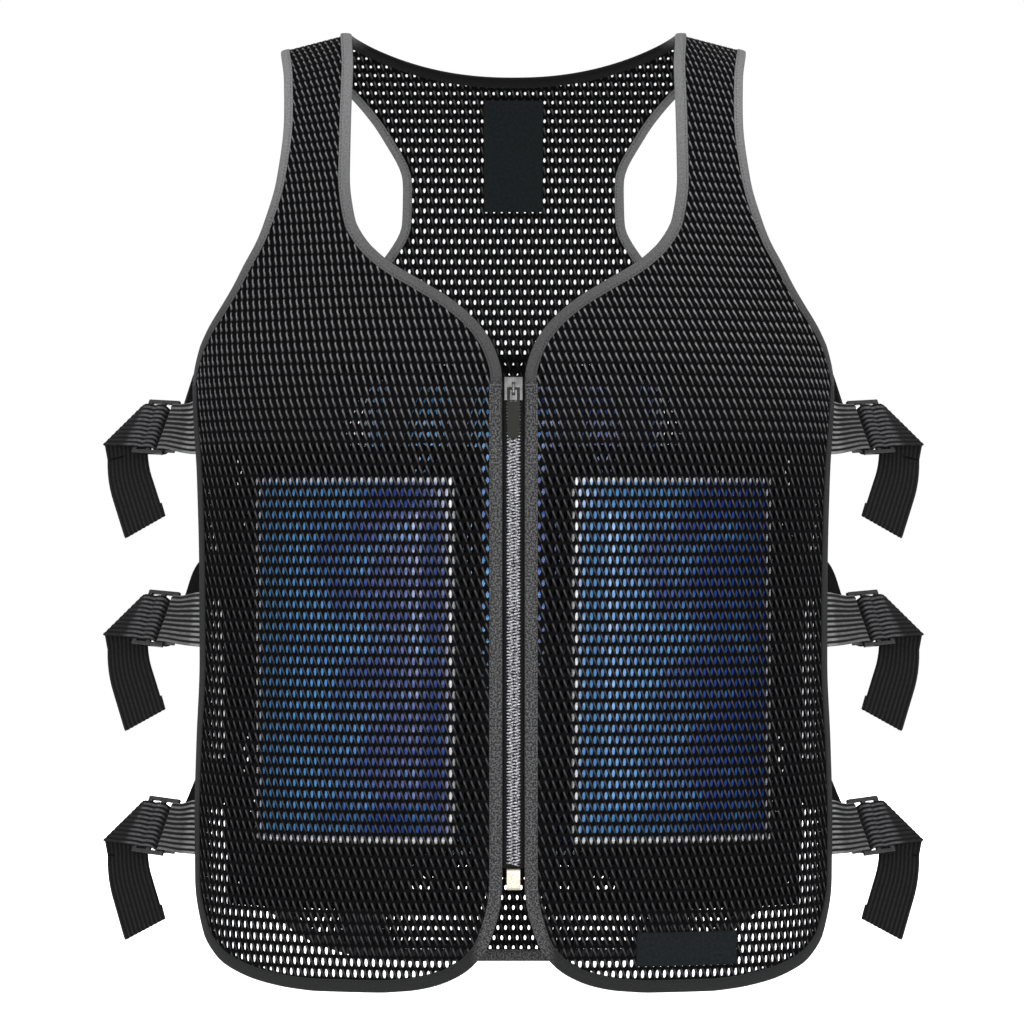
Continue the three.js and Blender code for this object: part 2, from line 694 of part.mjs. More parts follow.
// The pull hangs from the bail: its top bar turns in the bail's window
const pullOutline = new THREE.Shape();
const pullHalf = PULL_WIDTH / 2;
const pullTop = PULL_BAR / 2;
pullOutline.moveTo(-pullHalf, pullTop);
pullOutline.lineTo(-pullHalf, pullHalf - PULL_LENGTH);
pullOutline.absarc(0, pullHalf - PULL_LENGTH, pullHalf, Math.PI, 2 * Math.PI);
pullOutline.lineTo(pullHalf, pullTop);
const eye = new THREE.Path();
eye.moveTo(-PULL_EYE_WIDTH / 2, -pullTop);
eye.lineTo(-PULL_EYE_WIDTH / 2, -pullTop - PULL_EYE_LENGTH);
eye.lineTo(PULL_EYE_WIDTH / 2, -pullTop - PULL_EYE_LENGTH);
eye.lineTo(PULL_EYE_WIDTH / 2, -pullTop);
pullOutline.holes.push(eye);
const pullBlock = new THREE.ExtrudeGeometry(pullOutline, { depth: PULL, curveSegments: 6, bevelEnabled: false });
const pullPlate = bend(pullBlock, (x, y, z) => new THREE.Vector3(x, z - PULL / 2, y));
const pull = add("zip_pull", pullPlate, paintedZinc, sliderGroup);
pull.position.set(0, -(sliderFront + BAIL_REACH / 2), 0);

const retainerHalf = RETAINER_LENGTH / 2;
const retainer = sideCut(
  [
    [-retainerHalf, TAPE_LIFT - RETAINER_WALL],
    [retainerHalf, TAPE_LIFT - RETAINER_WALL],
    [retainerHalf, chainLift + CHAIN],
    [retainerHalf - RETAINER_WALL, chainLift + CHAIN + RETAINER_WALL],
    [RETAINER_WALL - retainerHalf, chainLift + CHAIN + RETAINER_WALL],
    [-retainerHalf, chainLift + CHAIN],
  ],
  RETAINER_WIDTH,
);
add("zip_retainer", retainer, nickel, zipGroup(retainerDown));

// Gel packs: two plain films sealed at a flat rim, the back one with short welds across it
const PACK_COLUMNS = [0, 0.06, 0.16, 0.3, 0.5, 0.7, 0.84, 0.94, 1];
const FRONT_PACK_ROWS = [0, 0.04, 0.1, 0.2, 0.4, 0.6, 0.8, 0.9, 0.96, 1];
const BACK_PACK_ROWS = [0, 0.03, 0.09, 0.17, 0.25, 0.33, 0.42, 0.5, 0.58, 0.67, 0.75, 0.83, 0.91, 0.97, 1];

function pack(lay, name, middle, down, width, height, thick, rows, welds) {
  const plump = (x, at) => {
    const in_x = width / 2 - Math.abs(x - middle);
    const in_z = height / 2 - Math.abs(at - down);
    let share = smoothStep(in_x / PACK_SHOULDER) * smoothStep(in_z / PACK_SHOULDER);
    for (let k = 1; k <= welds; k += 1) {
      const weld = down - height / 2 + (height * k) / (welds + 1);
      const near = 1 - smoothStep(Math.abs(at - weld) / (3 * WELD_HALF));
      const within = 1 - smoothStep((Math.abs(x - middle) / (width / 2) - WELD_SHARE) * (width / 2 / WELD_HALF));
      share *= 1 - 0.75 * near * within;
    }
    return (PACK_RIM + (thick - PACK_RIM) * share) / 2;
  };
  const place = (column, row) => ({
    x: middle + width * (PACK_COLUMNS[column] - 0.5),
    down: down + height * (rows[row] - 0.5),
  });
  const core = -CLEAR - thick / 2;
  const skin = sheet(
    lay, PACK_COLUMNS.length - 1, rows.length - 1, place,
    (x, at) => core - plump(x, at), (x, at) => core + plump(x, at),
  );
  add(name, skin, blueFilm);
}

for (const [side, hand] of [["left", -1], ["right", 1]]) {
  pack(
    onFrontPanel[side], `front_pack_${side}`, hand * FRONT_PACK_MIDDLE, FRONT_PACK_DOWN,
    FRONT_PACK_WIDTH, FRONT_PACK_HEIGHT, FRONT_PACK, FRONT_PACK_ROWS, 0,
  );
}
pack(
  onBackPanel, "back_pack", 0, BACK_PACK_DOWN,
  BACK_PACK_WIDTH, BACK_PACK_HEIGHT, BACK_PACK, BACK_PACK_ROWS, PACK_WELDS,
);

// Pockets: an inner layer of mesh that leaves the panel at its seams and passes behind the pack
const POCKET_COLUMNS = [0, 0.05, 0.12, 0.35, 0.65, 0.88, 0.95, 1];
const POCKET_ROWS = [0, 0.025, 0.06, 0.3, 0.62, 0.84, 0.93, 1];

function pocket(lay, name, inner, outer, top, bottom, thick, rise) {
  const floor = (x, at) => {
    const seam = Math.min(Math.min(x - inner, outer - x), at - top, bottom - at);
    return -LAYER_GAP - (thick + POCKET_SLACK) * smoothStep(seam / rise);
  };
  const place = (column, row) => ({
    x: inner + (outer - inner) * POCKET_COLUMNS[column],
    down: top + (bottom - top) * POCKET_ROWS[row],
  });
  const skin = sheet(
    lay, POCKET_COLUMNS.length - 1, POCKET_ROWS.length - 1, place,
    (x, at) => floor(x, at) - POCKET_CLOTH, floor,
  );
  add(name, skin, spacerMesh);
}

const frontPocketTop = FRONT_PACK_DOWN - FRONT_PACK_HEIGHT / 2 - POCKET_TOP_MARGIN;
const frontPocketBottom = FRONT_PACK_DOWN + FRONT_PACK_HEIGHT / 2 + POCKET_HEM_MARGIN;
const frontPocketInner = FRONT_PACK_MIDDLE - FRONT_PACK_WIDTH / 2 - POCKET_MARGIN;
const frontPocketOuter = FRONT_PACK_MIDDLE + FRONT_PACK_WIDTH / 2 + POCKET_MARGIN;
pocket(
  onFrontPanel.left, "front_pocket_left", -frontPocketOuter, -frontPocketInner,
  frontPocketTop, frontPocketBottom, FRONT_PACK, POCKET_MARGIN,
);
pocket(
  onFrontPanel.right, "front_pocket_right", frontPocketInner, frontPocketOuter,
  frontPocketTop, frontPocketBottom, FRONT_PACK, POCKET_MARGIN,
);
const backPocketHalf = BACK_PACK_WIDTH / 2 + BACK_POCKET_SIDE_MARGIN;
pocket(
  onBackPanel, "back_pocket", -backPocketHalf, backPocketHalf,
  BACK_PACK_DOWN - BACK_PACK_HEIGHT / 2 - POCKET_TOP_MARGIN,
  BACK_PACK_DOWN + BACK_PACK_HEIGHT / 2 + POCKET_MARGIN, BACK_PACK, POCKET_MARGIN,
);

// Labels: bare cloth patches, one inside the back of the neck, one at the front hem
function label(lay, name, middle, down, width, height, low) {
  const columns = 4;
  const rows = 3;
  const place = (column, row) => ({
    x: middle + width * (column / columns - 0.5),
    down: down + height * (row / rows - 0.5),
  });
  add(name, sheet(lay, columns, rows, place, () => low, () => low + LABEL), labelCloth);
}

const neckLabelDown = BACK_LENGTH * BACK_EDGES[0].centre + NECK_LABEL_DROP + NECK_LABEL_HEIGHT / 2;
label(onBackPanel, "neck_label", 0, neckLabelDown, NECK_LABEL_WIDTH, NECK_LABEL_HEIGHT, -CLEAR - LABEL);
label(
  onFrontPanel.right, "hem_label", HEM_LABEL_MIDDLE, FRONT_LENGTH - HEM_LABEL_RISE,
  HEM_LABEL_WIDTH, HEM_LABEL_HEIGHT, CLOTH + LAYER_GAP,
);

// Buckle seen along its face: three bars between two rails, with the tab on the first bar
const barStep = BUCKLE_BAR + BUCKLE_SLOT;
const buckleHalf = barStep + BUCKLE_BAR / 2;
const buckleHigh = BUCKLE_SLOT_WIDTH / 2 + BUCKLE_RAIL;

function buckleSkin() {
  let frame = solid(closed(new THREE.BoxGeometry(2 * buckleHalf, BUCKLE, 2 * buckleHigh)));
  for (const middle of [-barStep / 2, barStep / 2]) {
    const slot = new THREE.BoxGeometry(BUCKLE_SLOT, 2 * BUCKLE, BUCKLE_SLOT_WIDTH).translate(middle, 0, 0);
    frame = frame.subtract(solid(closed(slot)));
  }
  return skinOf(frame);
}

// The point of a side edge's binding at a given height, with its side and the way up the edge
function edgePoint(stations, height) {
  const run = stations.slice().sort((a, b) => b.at.z - a.at.z);
  const k = run.findIndex((station, i) => i > 0 && station.at.z < height);
  const share = (run[k - 1].at.z - height) / (run[k - 1].at.z - run[k].at.z);
  const side = run[k - 1].side.clone().lerp(run[k].side, share).normalize();
  const face = run[k - 1].face.clone().lerp(run[k].face, share).normalize();
  const at = run[k - 1].at.clone().lerp(run[k].at, share);
  at.addScaledVector(side, BINDING_TURN + BINDING + SEAM_GAP).addScaledVector(face, CLOTH / 2);
  return { at, side, up: run[k - 1].at.clone().sub(run[k].at).normalize() };
}

const blend = (a, b, t) => a.clone().lerp(b, t).normalize();
const level = new THREE.Vector3(0, 0, 1);

// Stations along a smooth curve that leaves a vest edge and arrives level at the buckle
function runTo(from, arrive, leave, meet, steps) {
  const curve = new THREE.CubicBezierCurve3(from.at, from.at.clone().addScaledVector(from.side, leave), meet, arrive);
  const stations = [];
  for (let k = 0; k <= steps; k += 1) {
    const across = blend(from.up, level, smoothStep(k / steps));
    const way = curve.getTangent(k / steps);
    stations.push({ at: curve.getPoint(k / steps), across, face: way.cross(across).normalize() });
  }
  return stations;
}

for (const [side, hand] of [["left", -1], ["right", 1]]) {
  // Places on a buckle: out along the strap, high across it, lift off its face towards the viewer
  const local = (out, high, lift) => new THREE.Vector3(hand * out, -lift, high);

  for (const strap of STRAPS) {
    const hold = new THREE.Group();
    hold.rotation.order = "YZX";
    hold.rotation.set(-BUCKLE_PITCH, -hand * BUCKLE_TILT, hand * BUCKLE_YAW);
    hold.position.set(hand * BUCKLE_REACH, -BUCKLE_BACK, -FRONT_LENGTH * strap.buckle);
    vest.add(hold);
    hold.updateMatrixWorld(true);
    add(`strap_buckle_${strap.name}_${side}`, buckleSkin(), acetal, hold);

    const inHold = (edge) => {
      const unturn = hold.quaternion.clone().invert();
      return {
        at: hold.worldToLocal(edge.at),
        side: edge.side.applyQuaternion(unturn),
        up: edge.up.applyQuaternion(unturn),
      };
    };
    const turnOn = (stations, turns, way) => {
      for (const turn of turns) {
        const face = local(turn.faceOut, 0, turn.faceLift).normalize().multiplyScalar(way);
        stations.push({ at: local(turn.out, 0, turn.lift), across: level, face, width: turn.width });
      }
    };

    // Elastic tab: from the front panel's edge, over the first bar and back under it
    const front = inHold(edgePoint(frontRuns[side].side, -FRONT_LENGTH * strap.buckle));
    const onBar = BUCKLE / 2 + CLEAR + TAB / 2;
    const roundBar = BUCKLE_BAR / 2 + CLEAR + TAB / 2 - barStep;
    const barEdge = BUCKLE_BAR / 2 - barStep;
    const meetBar = local(-BUCKLE_BAR - barStep, 0, onBar);
    const slotTab = BUCKLE_SLOT_WIDTH - 2 * CLEAR;
    const tab = runTo(front, meetBar, TAB_SET_OFF, meetBar.clone().add(local(-TAB_SET_OFF, 0, 0)), 5);
    tab.forEach((station, k) => {
      station.width = TAB_WIDTH + ((slotTab - TAB_WIDTH) * k) / 5;
    });
    const tabWay = Math.sign(tab[5].face.dot(local(0, 0, 1)));
    turnOn(tab, [
      { out: barEdge, lift: onBar, faceOut: 0.4, faceLift: 0.9, width: slotTab },
      { out: roundBar, lift: onBar - TAB / 2, faceOut: 0.9, faceLift: 0.4, width: slotTab },
      { out: roundBar, lift: TAB / 2 - onBar, faceOut: 0.9, faceLift: -0.4, width: slotTab },
      { out: barEdge, lift: -onBar, faceOut: 0.4, faceLift: -0.9, width: slotTab },
      { out: -barStep - TAB_RETURN, lift: -onBar, faceOut: 0, faceLift: -1, width: slotTab },
    ], tabWay);
    add(`elastic_tab_${strap.name}_${side}`, ribbon(tab, TAB_WIDTH, TAB), elastic, hold);

    // Webbing: from the back panel's edge, up through the first slot and over two bars
    const back = inHold(edgePoint(backSides[side], -FRONT_LENGTH * strap.back));
    const overBar = BUCKLE / 2 + CLEAR + WEBBING / 2;
    const besideBar = BUCKLE_BAR / 2 + CLEAR + WEBBING / 2;
    const enter = local(-besideBar, 0, -overBar - BUCKLE_BAR / 2);
    const web = runTo(back, enter, WEB_SET_OFF, enter.clone().add(local(0, 0, -WEB_SET_OFF)), 8);
    const webWay = Math.sign(web[8].face.dot(local(-1, 0, 0)));
    turnOn(web, [
      { out: -besideBar, lift: overBar - WEBBING / 2, faceOut: -0.9, faceLift: 0.45 },
      { out: -BUCKLE_BAR / 2, lift: overBar, faceOut: -0.35, faceLift: 0.95 },
      { out: BUCKLE_BAR / 2, lift: overBar, faceOut: 0.3, faceLift: 0.95 },
      { out: barStep / 2, lift: overBar - WEB_DIP, faceOut: 0, faceLift: 1 },
      { out: barStep - BUCKLE_BAR / 2, lift: overBar, faceOut: -0.2, faceLift: 1 },
      { out: barStep + BUCKLE_BAR / 2, lift: overBar, faceOut: 0.1, faceLift: 1 },
    ], webWay);

    // Past the buckle it folds slantwise, and its tail hangs down behind, with a doubled hem
    const leaf = (inner, outer, lift, faceLift, thickness = WEBBING) => {
      const a = local(inner.x, inner.y, lift);
      const b = local(outer.x, outer.y, lift);
      web.push({
        at: a.clone().add(b).multiplyScalar(0.5),
        across: a.clone().sub(b).normalize(),
        width: a.distanceTo(b),
        face: local(0, 0, faceLift * webWay),
        thickness,
      });
    };
    const half = WEBBING_WIDTH / 2;
    const foldTop = new THREE.Vector2(FOLD_START, half);
    const foldLow = new THREE.Vector2(FOLD_START + FOLD_RUN, -half);
    const foldLift = overBar - FOLD_DROP;
    const hangLift = foldLift - WEBBING - CLEAR;
    leaf(foldTop, foldLow, foldLift, 1);
    const tailWay = new THREE.Vector2(-TAIL_LEAN, -1).normalize();
    const endWay = new THREE.Vector2(-TAIL_END_LEAN, -1).normalize();
    const down = (point, way, length) => point.clone().addScaledVector(way, length);
    leaf(down(foldTop, tailWay, CLEAR + WEBBING), down(foldLow, tailWay, CLEAR + WEBBING), hangLift, -1);
    const rise = foldTop.clone().sub(foldLow).dot(tailWay);
    const middle = down(foldTop.clone().add(foldLow).multiplyScalar(0.5), tailWay, TAIL_TURN - rise / 2);
    const square = (way, lift, thickness) => {
      const across = new THREE.Vector2(-way.y, way.x).multiplyScalar(half);
      leaf(middle.clone().sub(across), middle.clone().add(across), lift, -1, thickness);
    };
    let lift = hangLift - TAIL_BACK;
    square(tailWay, lift);
    for (let k = 1; k <= TAIL_PIECES; k += 1) {
      const way = tailWay.clone().lerp(endWay, Math.min(k / 2, 1)).normalize();
      middle.addScaledVector(way, (TAIL_LENGTH - TAIL_HEM) / TAIL_PIECES);
      lift -= TAIL_CREEP;
      square(way, lift);
    }
    middle.addScaledVector(endWay, CLEAR);
    square(endWay, lift, 2 * WEBBING);
    middle.addScaledVector(endWay, TAIL_HEM);
    square(endWay, lift, 2 * WEBBING);
    add(`side_strap_${strap.name}_${side}`, ribbon(web, WEBBING_WIDTH, WEBBING), webbing, hold);
  }
}

export default vest;
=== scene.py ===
import math

import bmesh
import bpy
import numpy as np
from mathutils import Matrix, Vector
from mathutils.kdtree import KDTree


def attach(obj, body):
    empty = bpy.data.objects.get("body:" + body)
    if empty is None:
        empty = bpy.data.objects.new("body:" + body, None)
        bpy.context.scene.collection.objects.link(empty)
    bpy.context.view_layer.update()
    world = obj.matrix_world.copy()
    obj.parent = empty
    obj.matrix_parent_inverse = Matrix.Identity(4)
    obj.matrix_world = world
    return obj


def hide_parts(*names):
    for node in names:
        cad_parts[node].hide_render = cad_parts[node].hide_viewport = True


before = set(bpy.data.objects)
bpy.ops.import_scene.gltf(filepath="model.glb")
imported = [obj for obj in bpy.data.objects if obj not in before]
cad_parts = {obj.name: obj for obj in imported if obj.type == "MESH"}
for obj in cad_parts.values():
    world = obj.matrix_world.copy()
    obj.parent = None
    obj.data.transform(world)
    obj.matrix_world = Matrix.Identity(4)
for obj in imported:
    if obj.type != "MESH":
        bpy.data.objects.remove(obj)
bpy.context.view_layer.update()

# Front and back panels: knitted polyester spacer mesh, two open faces with oval holes in staggered rows.
# Each panel is cut flat, shaped over the chest and back, and bound at every edge. Sizes are in millimetres
# along the cloth: x out from the middle, down from the shoulder ridge, lift off the cloth's inner side.
FRONT_LENGTH = 662
BACK_LENGTH = 670
HALF_CHEST = 221
HALF_BACK = 226
CHEST_DEPTH = 115
BACK_DEPTH = 106
SIDE_TURN = 7
SECTION_POWER = 2.6
STRAP_INNER = 117
STRAP_OUTER = 163
SHOULDER_DROP = 12
SHOULDER_FADE = 60
NECK_DIP = 24.1
NECK_POWER = 2.2
ZIP_EDGE = 9.5
CLOTH = 2.5
CLOTH_SHOWN = 1.6
SEAM_GAP = 0.3
FRONT_PITCH = 5.0
FRONT_ROW = 7.6
FRONT_HOLE = (2.4, 5.8)
BACK_PITCH = 5.75
BACK_ROW = 7.53
BACK_HOLE = (2.0, 3.9)
PLAIN_BORDER = 4.5
BACK_SEAM = 330
DIMPLE = 0.8
DIMPLED_DOWN = 238
DIMPLED_SIDE = (118, 292)
TIGHT_FROM = 120
TIGHT_TO = 320
FRONT_TIGHT = 0.17
FLAT_STEPS = 400
FLAT_DEPTH = 0.9
HEM_PART = 0.15
OUTLINE_STEP = 0.5
RIM_SHARE = 0.1
FAR = 1e9
ZIP_TOP_ROW = 11

FRONT_EDGES = {
    "down": [0, .045, .098, .162, .208, .23, .254, .275, .296, .319, .344, .378, .476, .57, .665, .755,
             .83, .897, .95, .974, .989, .997, 1],
    "inner": [.529, .515, .516, .516, .498, .465, .393, .29, .19, .115, .066, .041, .041, .041, .041, .041,
              .041, .044, .082, .135, .21, .3, .4],
    "outer": [.738, .717, .711, .729, .765, .79, .829, .861, .9, .945, .98, 1, .982, .974, .973, .986,
              .993, .992, .962, .912, .82, .71, .62],
}
BACK_EDGES = {
    "down": [0, .0045, .0134, .027, .045, .0925, .14, .184, .222, .26, .275, .288, .306, .325, .35, .373,
             .41, .44, .48, .525, .6, .69, .77, .87, .9, .924, .946, .97, .985, .994, 1],
    "outer": [.721, .708, .673, .611, .54, .42, .354, .358, .416, .54, .618, .7, .8, .888, .958, .985,
              1, .99, .971, .951, .929, .923, .92, .918, .889, .836, .77, .686, .593, .5, .34],
}
FRONT_DEPTHS = {
    "down": [0, .012, .038, .098, .166, .227, .296, .364, .498, .665, .8, 1],
    "deep": [0, .19, .365, .574, .73, .835, .92, .974, 1, .974, .94, .905],
}
BACK_DEPTHS = {
    "down": [0, .036, .0925, .14, .222, .328, .49, .67, .836, 1],
    "deep": [0, .425, .717, .85, .962, 1, .943, .84, .83, .868],
}


def between(table, column, at, measure=lambda share: share):
    """Smooth reading of one column of a table, at shares between its rows."""
    x = measure(np.array(table["down"], float))
    y = np.array(table[column], float)
    here = np.clip(measure(np.asarray(at, float)), x[0], x[-1])
    k = np.clip(np.searchsorted(x, here) - 1, 0, len(x) - 2)
    slope = np.diff(y) / np.diff(x)
    before = np.r_[slope[0], slope]
    after = np.r_[slope, slope[-1]]
    level = before * after <= 0
    tangent = np.where(level, 0, 2 * before * after / np.where(level, 1, before + after))
    span = x[k + 1] - x[k]
    t = (here - x[k]) / span
    rise = t * t * (3 - 2 * t)
    bend = t * (1 - t) ** 2 * tangent[k] - t * t * (1 - t) * tangent[k + 1]
    return y[k] * (1 - rise) + y[k + 1] * rise + span * bend


def soft(share):
    share = np.clip(share, 0, 1)
    return share * share * (3 - 2 * share)


FRONT = dict(
    sign=-1, length=FRONT_LENGTH, half=HALF_CHEST, depth=CHEST_DEPTH, depths=FRONT_DEPTHS, tight=FRONT_TIGHT,
)
BACK = dict(
    sign=1, length=BACK_LENGTH, half=HALF_BACK, depth=BACK_DEPTH, depths=BACK_DEPTHS, tight=0,
)


def inner_face(face, x, root):
    """The cloth's inner face, with root the square root of the way down."""
    down = root * root
    out = np.minimum(np.abs(x) / (face["half"] + SIDE_TURN), 1)
    section = (1 - out ** SECTION_POWER) ** (1 / SECTION_POWER)
    deep = face["depth"] * between(face["depths"], "deep", down / face["length"], np.sqrt)
    ramp = np.clip((np.abs(x) - STRAP_INNER) / (STRAP_OUTER - STRAP_INNER), 0, 1)
    drop = SHOULDER_DROP * ramp * np.exp(-down / SHOULDER_FADE)
    return np.stack([x + 0 * down, face["sign"] * (SEAM_GAP / 2 + deep * section), -down - drop], -1)


def unit(vectors):
    return vectors / np.linalg.norm(vectors, axis=-1, keepdims=True)


def outward(face, x, down):
    step = 0.05
    root = np.maximum(np.sqrt(np.maximum(down, 0)), step)
    across = inner_face(face, x + step, root) - inner_face(face, x - step, root)
    along = inner_face(face, x, root + step) - inner_face(face, x, root - step)
    return face["sign"] * unit(np.cross(across, along))


def on_cloth(face, x, down, lift):
    x, down, lift = np.broadcast_arrays(*(np.asarray(value, float) for value in (x, down, lift)))
    return inner_face(face, x, np.sqrt(np.maximum(down, 0))) + outward(face, x, down) * lift[..., None]


def flat_maps(face):
    """How far x and down lie along the cloth itself, so that the knit is laid on without stretch. The depth
    counts a little less than in full, because it falls away from the middle and from the fullest height."""
    root = np.linspace(0, math.sqrt(face["length"]), FLAT_STEPS)
    deep = FLAT_DEPTH * face["depth"] * between(face["depths"], "deep", root ** 2 / face["length"], np.sqrt)
    v = np.r_[0, np.cumsum(np.hypot(np.diff(root ** 2), np.diff(deep)))]
    x = np.linspace(0, face["half"] + SIDE_TURN - 1, FLAT_STEPS)
    section = (1 - (x / (face["half"] + SIDE_TURN)) ** SECTION_POWER) ** (1 / SECTION_POWER)
    u = np.r_[0, np.cumsum(np.hypot(np.diff(x), FLAT_DEPTH * face["depth"] * np.diff(section)))]
    return {"down": root ** 2, "v": v, "x": x, "u": u}


def tightness(face, v):
    """The front's knit is drawn together at the shoulders, so that its cells are narrower there."""
    return 1 - face["tight"] * (1 - soft((v - TIGHT_FROM) / (TIGHT_TO - TIGHT_FROM)))


def to_flat(face, x, down):
    maps = face["maps"]
    v = np.interp(down, maps["down"], maps["v"])
    return np.sign(x) * np.interp(np.abs(x), maps["x"], maps["u"]) / tightness(face, v), v


def from_flat(face, u, v):
    maps = face["maps"]
    u = u * tightness(face, v)
    return np.sign(u) * np.interp(np.abs(u), maps["u"], maps["x"]), np.interp(v, maps["v"], maps["down"])


FRONT["maps"] = flat_maps(FRONT)
BACK["maps"] = flat_maps(BACK)


def front_inner(down):
    return np.maximum(HALF_CHEST * between(FRONT_EDGES, "inner", down / FRONT_LENGTH), ZIP_EDGE)


def front_outer(down):
    return HALF_CHEST * between(FRONT_EDGES, "outer", down / FRONT_LENGTH)


def back_outer(down):
    return HALF_BACK * between(BACK_EDGES, "outer", down / BACK_LENGTH)


def neck_line(x):
    return NECK_DIP * (1 - np.minimum(np.abs(x) / STRAP_INNER, 1) ** NECK_POWER)


def downs(length, first, last, count):
    """Places down an edge, closer near the shoulder and near the hem, where the edges turn fastest."""
    t = np.linspace(math.sqrt(first / length), 1, 2 * count)
    near = np.r_[length * t ** 2, length - (length * HEM_PART) * np.linspace(1, 0, count) ** 2]
    return np.unique(np.clip(near, first, last))


def pair(x, down):
    return np.c_[x + 0 * down, down + 0 * x]


front_downs = downs(FRONT_LENGTH, 0, FRONT_LENGTH, 80)
front_hem = np.linspace(FRONT_EDGES["inner"][-1], FRONT_EDGES["outer"][-1], 12) * HALF_CHEST
front_top = np.linspace(FRONT_EDGES["outer"][0], FRONT_EDGES["inner"][0], 14) * HALF_CHEST
FRONT_RING = np.r_[
    pair(front_inner(front_downs), front_downs),
    pair(front_hem, FRONT_LENGTH)[1:-1],
    pair(front_outer(front_downs), front_downs)[::-1],
    pair(front_top, 0)[1:-1],
]
back_downs = downs(BACK_LENGTH, 0, BACK_LENGTH, 100)
across_neck = STRAP_INNER * np.sin(np.radians(np.linspace(-90, 90, 141)))
back_neck = across_neck[70:]
back_top = np.linspace(STRAP_INNER, BACK_EDGES["outer"][0] * HALF_BACK, 12)
back_hem = np.linspace(BACK_EDGES["outer"][-1] * HALF_BACK, 0, 20)
half_ring = np.r_[
    pair(back_neck, neck_line(back_neck)),
    pair(back_top, 0)[1:-1],
    pair(back_outer(back_downs), back_downs),
    pair(back_hem, BACK_LENGTH)[1:],
]
BACK_RING = np.r_[half_ring, half_ring[::-1][1:-1] * (-1, 1)]


def in_front(x, down):
    return (x > front_inner(down)) & (x < front_outer(down)) & (down > 0) & (down < FRONT_LENGTH)


def in_back(x, down):
    return (np.abs(x) < back_outer(down)) & (down > neck_line(x)) & (down > 0) & (down < BACK_LENGTH)


def lined(x, down):
    """Where the front's two knitted faces close each other's holes: shoulders, upper chest and sides."""
    return (down < DIMPLED_DOWN) | ((np.abs(x) > DIMPLED_SIDE[0]) & (down < DIMPLED_SIDE[1]))


def finish_mesh(bm, name, made, smooth=True):
    bmesh.ops.recalc_face_normals(bm, faces=bm.faces[:])
    mesh = bpy.data.meshes.new(name)
    bm.to_mesh(mesh)
    bm.free()
    mesh.materials.append(made)
    mesh.polygons.foreach_set("use_smooth", [smooth] * len(mesh.polygons))
    piece = bpy.data.objects.new(name, mesh)
    bpy.context.scene.collection.objects.link(piece)
    return piece


def thicken(piece, millimetres):
    wall = piece.modifiers.new("wall", "SOLIDIFY")
    wall.thickness = millimetres / 1000
    wall.offset = 0
    return piece


